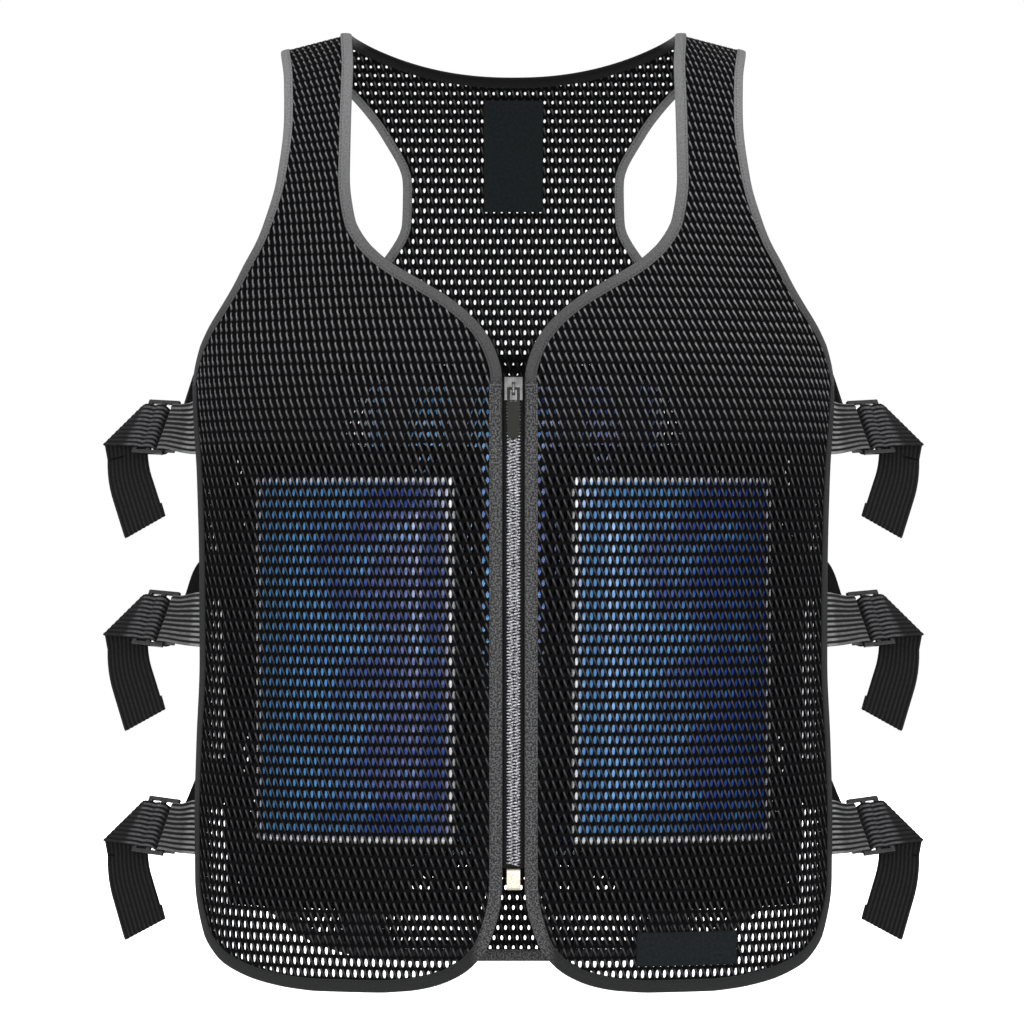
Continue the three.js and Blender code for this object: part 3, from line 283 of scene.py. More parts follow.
def knit(name, face, hand, ring, inside, pitch, row, hole, lift, made, sides=8, span=(-FAR, FAR),
         closed=None):
    """Knitted mesh cut to an outline: a slanted grid of cells, each inset to an oval hole, laid on the
    cloth. Where closed says so, the holes are dimples instead."""
    outline = np.stack(to_flat(face, ring[:, 0], ring[:, 1]), -1)
    lengths = np.linalg.norm(np.roll(outline, -1, 0) - outline, axis=1)
    steps = np.maximum(1, (lengths / OUTLINE_STEP).astype(int))
    edge_points = np.concatenate([
        a + (b - a) * (np.arange(n) / n)[:, None] for a, b, n in zip(outline, np.roll(outline, -1, 0), steps)
    ])
    edge = KDTree(len(edge_points))
    for i, (u, v) in enumerate(edge_points):
        edge.insert((u, v, 0), i)
    edge.balance()
    low, high = edge_points.min(0) - row, edge_points.max(0) + row
    low[1], high[1] = max(low[1], span[0]), min(high[1], span[1])
    tall = 2 * row
    first = math.floor(low[0] / pitch + low[1] / tall) - 1, math.floor(low[1] / tall - high[0] / pitch) - 1
    last = math.ceil(high[0] / pitch + high[1] / tall) + 1, math.ceil(high[1] / tall - low[0] / pitch) + 1
    wide, long = last[0] - first[0], last[1] - first[1]
    bm = bmesh.new()
    bmesh.ops.create_grid(bm, x_segments=wide, y_segments=long, size=0.5)
    for vert in bm.verts:
        i = round((vert.co.x + 0.5) * wide) + first[0]
        j = round((vert.co.y + 0.5) * long) + first[1]
        vert.co = (pitch * (i - j) / 2, tall * (i + j) / 2, 0)

    # Cells outside the outline go, and those near it stay whole under the binding
    centres = np.array([cell.calc_center_median()[:2] for cell in bm.faces])
    within = inside(*from_flat(face, centres[:, 0], centres[:, 1]))
    away = np.array([edge.find((u, v, 0))[2] for u, v in centres])
    keep = (within | (away < row / 2)) & (centres[:, 1] > span[0]) & (centres[:, 1] < span[1])
    pierced = keep & within & (away > PLAIN_BORDER)
    shut = closed(*from_flat(face, centres[:, 0], centres[:, 1])) if closed else np.zeros(len(centres), bool)
    cells = list(bm.faces)
    open_cells = [cell for cell, p in zip(cells, pierced) if p]
    shut_cells = {cell for cell, s in zip(cells, shut & pierced) if s}
    bmesh.ops.delete(bm, geom=[cell for cell, k in zip(cells, keep) if not k], context="FACES")
    if sides == 8:
        bmesh.ops.bisect_edges(bm, edges=bm.edges[:], cuts=1)
    bmesh.ops.inset_individual(bm, faces=open_cells, thickness=pitch * RIM_SHARE)
    for cell in open_cells:
        middle = cell.calc_center_median()
        for vert in cell.verts:
            turn = math.atan2((vert.co.y - middle.y) / row, (vert.co.x - middle.x) / (pitch / 2))
            turn = round(turn * 4 / math.pi) * math.pi / 4
            vert.co.x = middle.x + hole[0] / 2 * math.cos(turn)
            vert.co.y = middle.y + hole[1] / 2 * math.sin(turn)
            vert.co.z = -DIMPLE if cell in shut_cells else 0
    bmesh.ops.delete(bm, geom=[cell for cell in open_cells if cell not in shut_cells], context="FACES_ONLY")

    # Points past the outline are drawn back to it
    places = np.array([vert.co[:2] for vert in bm.verts])
    outside = ~inside(*from_flat(face, places[:, 0], places[:, 1]))
    for vert, out in zip(bm.verts, outside):
        if out:
            vert.co = edge.find(vert.co)[0]
    bmesh.ops.dissolve_degenerate(bm, dist=0.02, edges=bm.edges[:])
    bmesh.ops.triangulate(bm, faces=[cell for cell in bm.faces if len(cell.verts) > 4])
    flat = bm.loops.layers.uv.new("flat")
    for cell in bm.faces:
        for loop in cell.loops:
            loop[flat].uv = (hand * loop.vert.co.x, loop.vert.co.y)
    places = np.array([vert.co[:] for vert in bm.verts])
    x, down = from_flat(face, places[:, 0], places[:, 1])
    heights = lift(x, down) if callable(lift) else lift
    for vert, place in zip(bm.verts, on_cloth(face, hand * x, down, heights + places[:, 2]) / 1000):
        vert.co = place
    return finish_mesh(bm, name, made, smooth=False)


def linear(code):
    """An sRGB hex colour as the linear values that a shader takes."""
    parts = [int(code[i:i + 2], 16) / 255 for i in (1, 3, 5)]
    return [c / 12.92 if c <= 0.04045 else ((c + 0.055) / 1.055) ** 2.4 for c in parts] + [1]


def node(tree, kind, links=None, **settings):
    """Adds one node to a material, with its settings and with links or values for its inputs."""
    made = tree.nodes.new("ShaderNode" + kind)
    for name, value in settings.items():
        setattr(made, name, value)
    for key, value in (links or {}).items():
        socket = made.inputs[key]
        if isinstance(value, bpy.types.NodeSocket):
            tree.links.new(value, socket)
        elif isinstance(value, bpy.types.Node):
            tree.links.new(value.outputs[0], socket)
        else:
            socket.default_value = value
    return made


def maths(tree, operation, *values):
    return node(tree, "Math", dict(enumerate(values)), operation=operation)


def fade(tree, value, start, end, low=0.0, high=1.0):
    """A smooth change from low to high as value goes from start to end."""
    links = {0: value, 1: start, 2: end, 3: low, 4: high}
    return node(tree, "MapRange", links, interpolation_type="SMOOTHSTEP")


def material(name, color, roughness, **sockets):
    made = bpy.data.materials.new(name)
    made.use_nodes = True
    shader = made.node_tree.nodes["Principled BSDF"]
    shader.inputs["Base Color"].default_value = linear(color)
    shader.inputs["Roughness"].default_value = roughness
    for key, value in sockets.items():
        shader.inputs[key.replace("_", " ")].default_value = value
    return made, made.node_tree, shader


def relief(tree, shader, height, depth, strength=1.0):
    """Joins a height in shares to the shader's normal, as relief that many millimetres deep."""
    bump = node(tree, "Bump", {"Height": height, "Strength": strength, "Distance": depth / 1000})
    tree.links.new(bump.outputs[0], shader.inputs["Normal"])


def paint(tree, shader, share, low, high):
    """Colours the shader from low to high by a share."""
    color = node(tree, "MixRGB", {0: share, 1: linear(low), 2: linear(high)})
    tree.links.new(color.outputs[0], shader.inputs["Base Color"])


def flat_noise(tree, scale, detail):
    """Noise laid along the piece's own cloth, at so many to the millimetre."""
    flat = node(tree, "UVMap", uv_map="flat")
    return node(tree, "TexNoise", {"Vector": flat, "Scale": scale, "Detail": detail})


def object_noise(tree, **settings):
    """Noise through a hard piece, at so many to the metre."""
    return node(tree, "TexNoise", {"Vector": node(tree, "TexCoord").outputs["Object"], **settings})


def flat_place(tree):
    """The piece's own place in millimetres, across and along its cloth."""
    return node(tree, "SeparateXYZ", {0: node(tree, "UVMap", uv_map="flat")})


def spacer_mesh(name, pitch, row, lean, painted_highlight_fading, low_share, dark, pale):
    """Matt black yarn. The light that the loops between the holes catch is painted in as slanting grey
    strokes, painted highlights that are palest at the top.
    """
    made, tree, shader = material(name, dark, 0.8, Specular_IOR_Level=0.03)
    place = flat_place(tree)
    across = maths(tree, "MULTIPLY", place.outputs["X"], 1 / pitch)
    along = maths(tree, "MULTIPLY", place.outputs["Y"], 0.5 / row)
    i = maths(tree, "ADD", along, across)
    j = maths(tree, "SUBTRACT", along, across)
    i = maths(tree, "SUBTRACT", i, maths(tree, "ROUND", i))
    j = maths(tree, "SUBTRACT", j, maths(tree, "ROUND", j))
    x = maths(tree, "MULTIPLY", maths(tree, "SUBTRACT", i, j), pitch / 2)
    y = maths(tree, "MULTIPLY", maths(tree, "ADD", i, j), row)

    # Each stroke leans across its cell, under 2 mm wide and under 8 mm long, with soft edges and ends
    swing = maths(tree, "MULTIPLY", maths(tree, "TANH", maths(tree, "MULTIPLY", y, 0.38)), lean)
    off = maths(tree, "ABSOLUTE", maths(tree, "SUBTRACT", x, swing))
    thin = fade(tree, off, 0.25, 0.95, 1.0, 0.0)
    short = fade(tree, maths(tree, "ABSOLUTE", y), 1.6, 3.9, 1.0, 0.0)
    stroke = maths(tree, "MULTIPLY", thin, short)
    fuzz = flat_noise(tree, 1.4, 3.0)
    # Painted highlight: noise breaks each stroke up, and each stroke is painted brighter at its upper end
    # than at its lower
    painted_highlight_fleck = maths(tree, "MULTIPLY", fade(tree, fuzz, 0.3, 0.7, 0.5, 1.0), fade(tree, y, -2.6, 3.0, 1.0, 0.35))
    # Painted highlight: the strokes are painted palest near the top of the cloth and fade to low_share lower
    # down
    high = fade(tree, place.outputs["Y"], painted_highlight_fading[0], painted_highlight_fading[1], 1.0, low_share)
    paint(tree, shader, maths(tree, "MULTIPLY", maths(tree, "MULTIPLY", stroke, painted_highlight_fleck), high), dark, pale)
    relief(tree, shader, maths(tree, "MULTIPLY_ADD", fuzz, 0.35, stroke), 0.6)
    return made


def declare(piece, slot, *replaced, body="vest"):
    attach(piece, body)
    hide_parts(*replaced)


# The pale colour is the strokes' painted highlight: strongest on the front, fainter on the back
front_knit = spacer_mesh("polyester_spacer_mesh_front", FRONT_PITCH, FRONT_ROW, 1.25, (230, 380), 0.26,
                         "#050506", "#858587")
back_knit = spacer_mesh("polyester_spacer_mesh_back", BACK_PITCH, BACK_ROW, 0.7, (40, 400), 0.5,
                        "#050506", "#505052")
for side, hand in (("left", -1), ("right", 1)):
    panel = knit(f"front_cloth_{side}", FRONT, hand, FRONT_RING, in_front, FRONT_PITCH, FRONT_ROW, FRONT_HOLE,
                 CLOTH - CLOTH_SHOWN / 2, front_knit, closed=lined)
    thicken(panel, CLOTH_SHOWN)
    declare(panel, "spacer_mesh", f"front_panel_{side}")

for name, span, flat, area in (
    ("back_cloth_upper", (-FAR, BACK_SEAM), (0.50, 0.37), 0.085),
    ("back_cloth_lower", (BACK_SEAM, FAR), (0.52, 0.42), 0.18),
):
    panel = knit(name, BACK, 1, BACK_RING, in_back, BACK_PITCH, BACK_ROW, BACK_HOLE,
                 CLOTH - CLOTH_SHOWN / 2, back_knit, span=span)
    thicken(panel, CLOTH_SHOWN)
    declare(panel, "spacer_mesh", "back_panel")

# Gel packs: two blue films welded together at a clear flat rim and filled with gel, so that each lies as a
# soft pillow against the panel. The back pack is wrinkled by its fill, the front ones are smoother.
PACK_GAP = 0.4
PACK_SHOULDER = 26
PACK_RIM = 4
PACK_CELL = 3.1
FRONT_PACK = dict(width=141, height=252, middle=110, down=438, thick=10, creases=16, crease=0.7)
BACK_PACK = dict(width=226, height=352, middle=0, down=416, thick=12, creases=60, crease=1.3)


def film(name, rim_color, blue, deep):
    """Glossy blue film with a paler clear rim, in blues that vary in uneven patches, paler towards the film's
    negative x and deeper towards its positive x.
    """
    gloss = dict(Specular_IOR_Level=0.4, Coat_Weight=0.12, Coat_Roughness=0.2)
    made, tree, shader = material(name, blue, 0.32, **gloss)
    # Paler towards the film's negative x and deeper towards its positive x, alike on every pack
    across = fade(tree, flat_place(tree).outputs["X"], -65, 65, 0.2, -0.2)
    cloud = maths(tree, "ADD", flat_noise(tree, 0.03, 3.0), across)
    gel = node(tree, "MixRGB", {0: fade(tree, cloud, 0.35, 0.65), 1: linear(deep), 2: linear(blue)})
    rim = node(tree, "Attribute", attribute_name="rim")
    color = node(tree, "MixRGB", {0: rim.outputs["Fac"], 1: gel, 2: linear(rim_color)})
    tree.links.new(color.outputs[0], shader.inputs["Base Color"])
    relief(tree, shader, flat_noise(tree, 0.12, 4.0), 1.5, 0.5)
    return made


def pack(name, face, size, made, hand, replaced, seed):
    rng = np.random.default_rng(seed)
    half_w, half_h = size["width"] / 2, size["height"] / 2
    creases = [
        dict(
            x=rng.uniform(-0.8, 0.8) * half_w,
            down=rng.uniform(-0.9, 0.9) * half_h,
            turn=rng.normal(0, 0.12),
            long=rng.uniform(12, 40),
            wide=rng.uniform(2, 4),
            deep=rng.uniform(0.3, 1) * size["crease"],
        )
        for _ in range(size["creases"])
    ]

    def plump(x, down):
        full = soft((half_w - np.abs(x) - PACK_RIM) / PACK_SHOULDER)
        full = full * soft((half_h - np.abs(down) - PACK_RIM) / PACK_SHOULDER)
        rise = (size["thick"] / 2 - 0.4) * full
        for c in creases:
            along = (x - c["x"]) * math.cos(c["turn"]) + (down - c["down"]) * math.sin(c["turn"])
            off = (down - c["down"]) * math.cos(c["turn"]) - (x - c["x"]) * math.sin(c["turn"])
            rise = rise - full * c["deep"] * np.exp(-(along / c["long"]) ** 2 - (off / c["wide"]) ** 2)
        return 0.3 + rise

    bm = bmesh.new()
    columns, rows = int(size["width"] / PACK_CELL), int(size["height"] / PACK_CELL)
    flat = bm.loops.layers.uv.new("flat")
    welded = bm.verts.layers.float.new("rim")
    for way in (-1, 1):
        verts = bmesh.ops.create_grid(bm, x_segments=columns, y_segments=rows, size=0.5)["verts"]
        x = np.array([vert.co.x for vert in verts]) * size["width"]
        down = np.array([vert.co.y for vert in verts]) * size["height"]
        edge = np.minimum(half_w - np.abs(x), half_h - np.abs(down))
        lift = -PACK_GAP - size["thick"] / 2 + way * np.where(edge < 0.1, 0, plump(x, down))
        points = on_cloth(face, x + hand * size["middle"], down + size["down"], lift) / 1000
        for vert, place, a, b, d in zip(verts, points, x, down, edge):
            vert.co = place
            vert[welded] = min(max(PACK_RIM + 1.5 - d, 0), 1)
            for loop in vert.link_loops:
                loop[flat].uv = (a, b)
    bmesh.ops.remove_doubles(bm, verts=[vert for vert in bm.verts if vert.is_boundary], dist=1e-5)
    piece = finish_mesh(bm, name, made)
    declare(piece, "blue_film", replaced)


front_film = film("blue_film_front", "#ffffff", "#4c98e0", "#123c98")
back_film = film("blue_film_back", "#d8e8f4", "#3a94d8", "#123c98")
pack("front_pack_film_left", FRONT, FRONT_PACK, front_film, -1, "front_pack_left", 3)
pack("front_pack_film_right", FRONT, FRONT_PACK, front_film, 1, "front_pack_right", 4)
pack("back_pack_film", BACK, BACK_PACK, back_film, 1, "back_pack", 5)

# Pockets: a thin layer of the same mesh sewn inside each panel. It leaves the panel at its seams and
# passes behind the pack, so the packs can be slid in from the top.
POCKET_CLOTH = 1.5
POCKET_SHOWN = 0.9
POCKET_SLACK = 1.6
LAYER_GAP = 1
POCKET_MARGIN = 18
POCKET_TOP = 20
FRONT_POCKET_HEM = 44
BACK_POCKET_SIDE = 70
POCKET_SIDE_POINTS = 40
POCKET_PITCH = 6.4
POCKET_ROW = 8.6
POCKET_HOLE = (3.4, 6.4)


def pocket(name, face, hand, size, sides, hem, made, replaced):
    half = size["width"] / 2 + sides
    inner, outer = size["middle"] - half, size["middle"] + half
    top = size["down"] - size["height"] / 2 - POCKET_TOP
    bottom = size["down"] + size["height"] / 2 + hem

    def floor(x, down):
        seam = np.minimum(np.minimum(x - inner, outer - x), np.minimum(down - top, bottom - down))
        return -LAYER_GAP - POCKET_CLOTH / 2 - (size["thick"] + POCKET_SLACK) * soft(seam / POCKET_MARGIN)

    def within(x, down):
        return (x > inner) & (x < outer) & (down > top) & (down < bottom)

    corners = np.array([(inner, top), (inner, bottom), (outer, bottom), (outer, top)], float)
    share = np.linspace(0, 1, POCKET_SIDE_POINTS, endpoint=False)[:, None]
    ring = np.concatenate([a + (b - a) * share for a, b in zip(corners, np.roll(corners, -1, 0))])
    piece = knit(name, face, hand, ring, within, POCKET_PITCH, POCKET_ROW, POCKET_HOLE, floor, made, sides=4)
    thicken(piece, POCKET_SHOWN)
    declare(piece, "spacer_mesh", replaced)


# The pocket's strokes carry the faintest painted highlight
pocket_knit = spacer_mesh("polyester_pocket_mesh", POCKET_PITCH, POCKET_ROW, 0.85, (40, 400), 0.5,
                          "#050506", "#2e2e30")
for side, hand in (("left", -1), ("right", 1)):
    pocket(f"front_pocket_mesh_{side}", FRONT, hand, FRONT_PACK, POCKET_MARGIN, FRONT_POCKET_HEM, pocket_knit,
           f"front_pocket_{side}")
pocket("back_pocket_mesh", BACK, 1, BACK_PACK, BACK_POCKET_SIDE, POCKET_MARGIN, pocket_knit, "back_pocket")

# Bindings: knitted tape folded over every cut edge and sewn down with one row of stitches near its edge.
# Grey tape goes round the neck and the armholes, charcoal tape round the zip edges, sides and hems.
NECK_LEG = 5.8
ARM_LEG = 4.6
EDGE_LEG = 6.8
BINDING_TURN = 1.6
BINDING_TAPE = 0.8
BINDING_STEP = 5
ARMPIT_DOWN = 250


def edge_frames(legs, inside):
    """Points along an edge at even steps, with the way off the edge and the way off the cloth."""
    points = np.concatenate([on_cloth(face, x, down, 0) for face, x, down in legs])
    faces = np.concatenate([outward(face, x, down) for face, x, down in legs])
    travelled = np.r_[0, np.cumsum(np.linalg.norm(np.diff(points, axis=0), axis=1))]
    at = np.linspace(0, travelled[-1], int(travelled[-1] / BINDING_STEP) + 1)
    points = np.stack([np.interp(at, travelled, points[:, k]) for k in range(3)], -1)
    faces = np.stack([np.interp(at, travelled, faces[:, k]) for k in range(3)], -1)
    along = unit(np.gradient(points, axis=0))
    side = unit(np.cross(along, faces))
    middle = on_cloth(legs[0][0], *inside, 0)
    near = len(points) // (2 * len(legs))
    side = side * np.sign(np.sum(side[:near] * (points[:near] - middle)))
    face = unit(np.cross(side, along))
    face = face * np.sign(np.sum(face * faces, axis=1))[:, None]
    return at, points, side, face


def grid_piece(name, columns, rows, place, flat, made):
    """A grid of that many cells bent into place: place and flat take each corner's column and row."""
    bm = bmesh.new()
    bmesh.ops.create_grid(bm, x_segments=columns, y_segments=rows, size=0.5)
    bm.verts.index_update()
    i = np.array([round((vert.co.x + 0.5) * columns) for vert in bm.verts])
    j = np.array([round((vert.co.y + 0.5) * rows) for vert in bm.verts])
    spots = np.stack(np.broadcast_arrays(*flat(i, j)), -1)
    layer = bm.loops.layers.uv.new("flat")
    for cell in bm.faces:
        for loop in cell.loops:
            loop[layer].uv = spots[loop.vert.index]
    for vert, point in zip(bm.verts, place(i, j) / 1000):
        vert.co = point
    return finish_mesh(bm, name, made)


def folded_section(leg):
    """The folded tape across the edge: how far it lies off the edge, off the cloth and along itself."""
    turn = np.radians(np.linspace(-90, 90, 7))
    half_wall = CLOTH / 2 + BINDING_TAPE / 2
    leg_side = -leg * np.array([1, 0.85, 0.4])
    leg_lift = half_wall + np.array([-0.35, 0.05, 0.15])
    off_edge = np.r_[leg_side, BINDING_TURN * np.cos(turn), leg_side[::-1]]
    lift = CLOTH / 2 + np.r_[-leg_lift, half_wall * np.sin(turn), leg_lift[::-1]]
    return off_edge, lift, np.r_[0, np.cumsum(np.hypot(np.diff(off_edge), np.diff(lift)))]


def binding(name, slot, replaced, legs, inside, leg, made):
    at, points, side, face = edge_frames(legs, inside)
    off_edge, lift, way = folded_section(leg)
    piece = grid_piece(
        name, len(way) - 1, len(at) - 1,
        lambda i, j: points[j] + side[j] * off_edge[i][:, None] + face[j] * lift[i][:, None],
        lambda i, j: (way[i], at[j]), made,
    )
    thicken(piece, BINDING_TAPE)
    declare(piece, slot, replaced)


def tape_cloth(name, dark, pale, leg, shades):
    """Knitted tape: fine ribs along it, a sunk row of stitches, and grey set by shades, which on the neck and
    armhole tapes is painted light and shade that darkens down the vest.
    """
    made, tree, shader = material(name, pale, 0.85, Specular_IOR_Level=0.1, Sheen_Weight=0.03)
    place = flat_place(tree)
    ribs = maths(tree, "SINE", maths(tree, "MULTIPLY", place.outputs["X"], 2 * math.pi / 0.9))
    ribs = maths(tree, "MULTIPLY_ADD", ribs, 0.5, 0.5)
    total = float(folded_section(leg)[2][-1])
    from_end = maths(tree, "MINIMUM", place.outputs["X"], maths(tree, "SUBTRACT", total, place.outputs["X"]))
    row = fade(tree, maths(tree, "ABSOLUTE", maths(tree, "SUBTRACT", from_end, 1.5)), 0.15, 0.5, 1.0, 0.0)
    dash = maths(tree, "SINE", maths(tree, "MULTIPLY", place.outputs["Y"], 2 * math.pi / 2.6))
    stitch = maths(tree, "MULTIPLY", row, fade(tree, dash, -0.4, 0.1))
    fuzz = flat_noise(tree, 0.8, 4.0)
    tone = maths(tree, "MULTIPLY", shades(tree), fade(tree, fuzz, 0.25, 0.75, 0.6, 1.0))
    tone = maths(tree, "MULTIPLY", tone, fade(tree, ribs, 0.0, 1.0, 0.8, 1.0))
    tone = maths(tree, "MULTIPLY", tone, fade(tree, stitch, 0.0, 1.0, 1.0, 0.55))
    paint(tree, shader, tone, dark, pale)
    relief(tree, shader, maths(tree, "SUBTRACT", maths(tree, "MULTIPLY_ADD", fuzz, 0.5, ribs), stitch), 0.25)
    return made


def object_place(tree):
    return node(tree, "SeparateXYZ", {0: node(tree, "TexCoord").outputs["Object"]})


def neck_painted_shade(tree):
    place = object_place(tree)
    # Painted light and shade: palest at the top, darker lower down, and dark at the back of the neck, as
    # painted shade
    upper = fade(tree, place.outputs["Z"], -0.25, -0.02, 0.3, 0.95)
    return maths(tree, "MULTIPLY", upper, fade(tree, place.outputs["Y"], -0.005, 0.02, 1.0, 0.0))


def armhole_painted_shade(tree):
    place = object_place(tree)
    # Painted light and shade: palest at the top and darker lower down; the back half is painted darker, as
    # painted shade
    upper = fade(tree, place.outputs["Z"], -0.24, -0.03, 0.22, 1.0)
    behind = fade(tree, place.outputs["Z"], -0.22, -0.12, 0.3, 0.72)
    share = fade(tree, place.outputs["Y"], 0.0, 0.02)
    return node(tree, "MixRGB", {0: share, 1: upper, 2: behind})


def edge_shades(tree):
    place = object_place(tree)
    near_zip = fade(tree, maths(tree, "ABSOLUTE", place.outputs["X"]), 0.02, 0.03, 1.0, 0.0)
    woven = fade(tree, flat_noise(tree, 0.8, 2.0), 0.42, 0.6, 0.1, 0.9)
    return maths(tree, "MULTIPLY_ADD", near_zip, woven, 0.16)


neck_tape = tape_cloth("grey_neck_tape", "#060607", "#79797a", NECK_LEG, neck_painted_shade)
arm_tape = tape_cloth("grey_armhole_tape", "#060607", "#7c7c7d", ARM_LEG, armhole_painted_shade)
edge_tape = tape_cloth("charcoal_edge_tape", "#0c0d0e", "#565657", EDGE_LEG, edge_shades)

neck_downs = downs(FRONT_LENGTH, 0, FRONT_EDGES["down"][ZIP_TOP_ROW] * FRONT_LENGTH, 60)
arm_downs = downs(FRONT_LENGTH, 0, ARMPIT_DOWN, 60)
zip_front = downs(FRONT_LENGTH, neck_downs[-1], FRONT_LENGTH, 60)
low_front = downs(FRONT_LENGTH, ARMPIT_DOWN, FRONT_LENGTH, 60)
low_back = downs(BACK_LENGTH, ARMPIT_DOWN, BACK_LENGTH, 60)
hem_back = np.linspace(-BACK_EDGES["outer"][-1], BACK_EDGES["outer"][-1], 30)[1:-1] * HALF_BACK
binding("neck_tape", "grey_binding", "neck_binding", [
    (FRONT, -front_inner(neck_downs)[::-1], neck_downs[::-1]),
    (BACK, across_neck[1:-1], neck_line(across_neck)[1:-1]),
    (FRONT, front_inner(neck_downs), neck_downs),
], (-140, 150), NECK_LEG, neck_tape)
for side, hand in (("left", -1), ("right", 1)):
    binding(f"armhole_tape_{side}", "grey_binding", f"armhole_binding_{side}", [
        (FRONT, hand * front_outer(arm_downs)[::-1], arm_downs[::-1]),
        (BACK, hand * back_outer(arm_downs)[1:], arm_downs[1:]),
    ], (hand * 140, 150), ARM_LEG, arm_tape)
    binding(f"front_edge_tape_{side}", "dark_binding", f"front_edge_binding_{side}", [
        (FRONT, hand * front_inner(zip_front), zip_front),
        (FRONT, hand * front_hem[1:-1], np.full_like(front_hem[1:-1], FRONT_LENGTH)),
        (FRONT, hand * front_outer(low_front)[::-1], low_front[::-1]),
    ], (hand * 120, 450), EDGE_LEG, edge_tape)
binding("back_edge_tape", "dark_binding", "back_edge_binding", [
    (BACK, -back_outer(low_back), low_back),
    (BACK, hem_back, np.full_like(hem_back, BACK_LENGTH)),
    (BACK, back_outer(low_back)[::-1], low_back[::-1]),
], (0, 450), EDGE_LEG, edge_tape)

# Zip: nylon coil on woven black tapes, a die-cast slider with a bail and a pull tab, and the pale retainer
# box at the bottom. The coil is two squashed spirals that meet on the middle line. Each tape dips behind
# the binding, where it is sewn.
ZIP_TOP = 250.3
ZIP_BOTTOM = 578.7
ZIP_ROWS = 110
TAPE_EDGE = 16
TAPE_LIFT = 0.8
TAPE = 0.8
TAPE_COLUMNS = 16
TAPE_DIP = 2.9
TAPE_DIP_START = 5
TAPE_DIP_RUN = 3
COIL_PITCH = 2.2
COIL_WIRE = 0.42
COIL_HALF = 2.25
COIL_HIGH = 1.05
COIL_OVERLAP = 0.2
COIL_STEPS = 10


def woven_tape():
    """Dull black herringbone twill: slanted ribs that change way every three millimetres."""
    made, tree, shader = material("black_woven_zip_tape", "#0c0c0d", 0.8, Specular_IOR_Level=0.2)
    place = flat_place(tree)
    slanted = maths(tree, "ADD", place.outputs["Y"], maths(tree, "PINGPONG", place.outputs["X"], 1.5))
    ribs = maths(tree, "SINE", maths(tree, "MULTIPLY", slanted, 2 * math.pi / 0.9))
    paint(tree, shader, fade(tree, ribs, -0.5, 1.0), "#060607", "#1a1a1c")
    relief(tree, shader, ribs, 0.2)
    return made


zip_cloth = woven_tape()
zip_downs = np.linspace(ZIP_TOP, ZIP_BOTTOM, ZIP_ROWS + 1)
for side, hand in (("left", -1), ("right", 1)):
    tape_x = np.linspace(SEAM_GAP / 2, TAPE_EDGE, TAPE_COLUMNS + 1)
    tape_lift = TAPE_LIFT + TAPE / 2 - TAPE_DIP * soft((tape_x - TAPE_DIP_START) / TAPE_DIP_RUN)
    piece = grid_piece(
        f"zip_tape_cloth_{side}", TAPE_COLUMNS, ZIP_ROWS,
        lambda i, j: on_cloth(FRONT, hand * tape_x[i], zip_downs[j], tape_lift[i]),
        lambda i, j: (tape_x[i], zip_downs[j]), zip_cloth,
    )
    thicken(piece, TAPE)
    declare(piece, "zip_tape", f"zip_tape_{side}")

# Satin grey nylon: a fine speckle paints pale flecks over it, painted glints for the loops' highlights, and
# its bump breaks up the real highlights
coil, tree, shader = material("grey_nylon_coil", "#8c8c8f", 0.3, Specular_IOR_Level=0.6)
speckle = object_noise(tree, Scale=900.0)
# Painted highlights: the pale flecks stand in for glints on the coil's loops
paint(tree, shader, fade(tree, speckle, 0.38, 0.62), "#2c2c2f", "#b4b4b8")
relief(tree, shader, speckle, 0.1)
for side, hand in (("left", -1), ("right", 1)):
    turns = int((ZIP_BOTTOM - ZIP_TOP) / COIL_PITCH) - 1
    bm = bmesh.new()
    bmesh.ops.create_circle(bm, segments=6, radius=COIL_WIRE)
    bmesh.ops.rotate(bm, verts=bm.verts[:], cent=(0, 0, 0), matrix=Matrix.Rotation(math.pi / 2, 3, "X"))
    bmesh.ops.translate(bm, verts=bm.verts[:], vec=(COIL_HALF, 0, 0))
    bmesh.ops.spin(bm, geom=bm.verts[:] + bm.edges[:], cent=(0, 0, 0), axis=(0, 0, 1),
                   dvec=(0, 0, COIL_PITCH / COIL_STEPS), angle=2 * math.pi * turns, steps=turns * COIL_STEPS)
    spots = np.array([vert.co[:] for vert in bm.verts])
    lift = TAPE_LIFT + TAPE + SEAM_GAP + COIL_HIGH + spots[:, 1] * COIL_HIGH / COIL_HALF
    start = ZIP_TOP + (0 if hand < 0 else COIL_PITCH / 2)
    points = on_cloth(FRONT, hand * (COIL_HALF - COIL_OVERLAP) + spots[:, 0], spots[:, 2] + start, lift)
    for vert, place in zip(bm.verts, points / 1000):
        vert.co = place
    declare(finish_mesh(bm, f"zip_coil_{side}", coil), "zip_coil", "zip_chain")


def rounded(name, source, body, slot, made, radius, segments=3):
    """A copy of a hard piece with its sharp edges rounded over, as cast or moulded pieces have."""
    bm = bmesh.new()
    bm.from_mesh(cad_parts[source].data)
    bmesh.ops.remove_doubles(bm, verts=bm.verts[:], dist=1e-6)
    bmesh.ops.dissolve_limit(bm, angle_limit=math.radians(2), verts=bm.verts[:], edges=bm.edges[:])
    sharp = [edge for edge in bm.edges if edge.calc_face_angle(0) > math.radians(25)]
    bmesh.ops.bevel(bm, geom=sharp, offset=radius / 1000, segments=segments, profile=0.5, affect="EDGES",
                    clamp_overlap=True, material=-1)
    piece = finish_mesh(bm, name, made)
    piece.modifiers.new("even_shading", "WEIGHTED_NORMAL")
    declare(piece, slot, source, body=body)


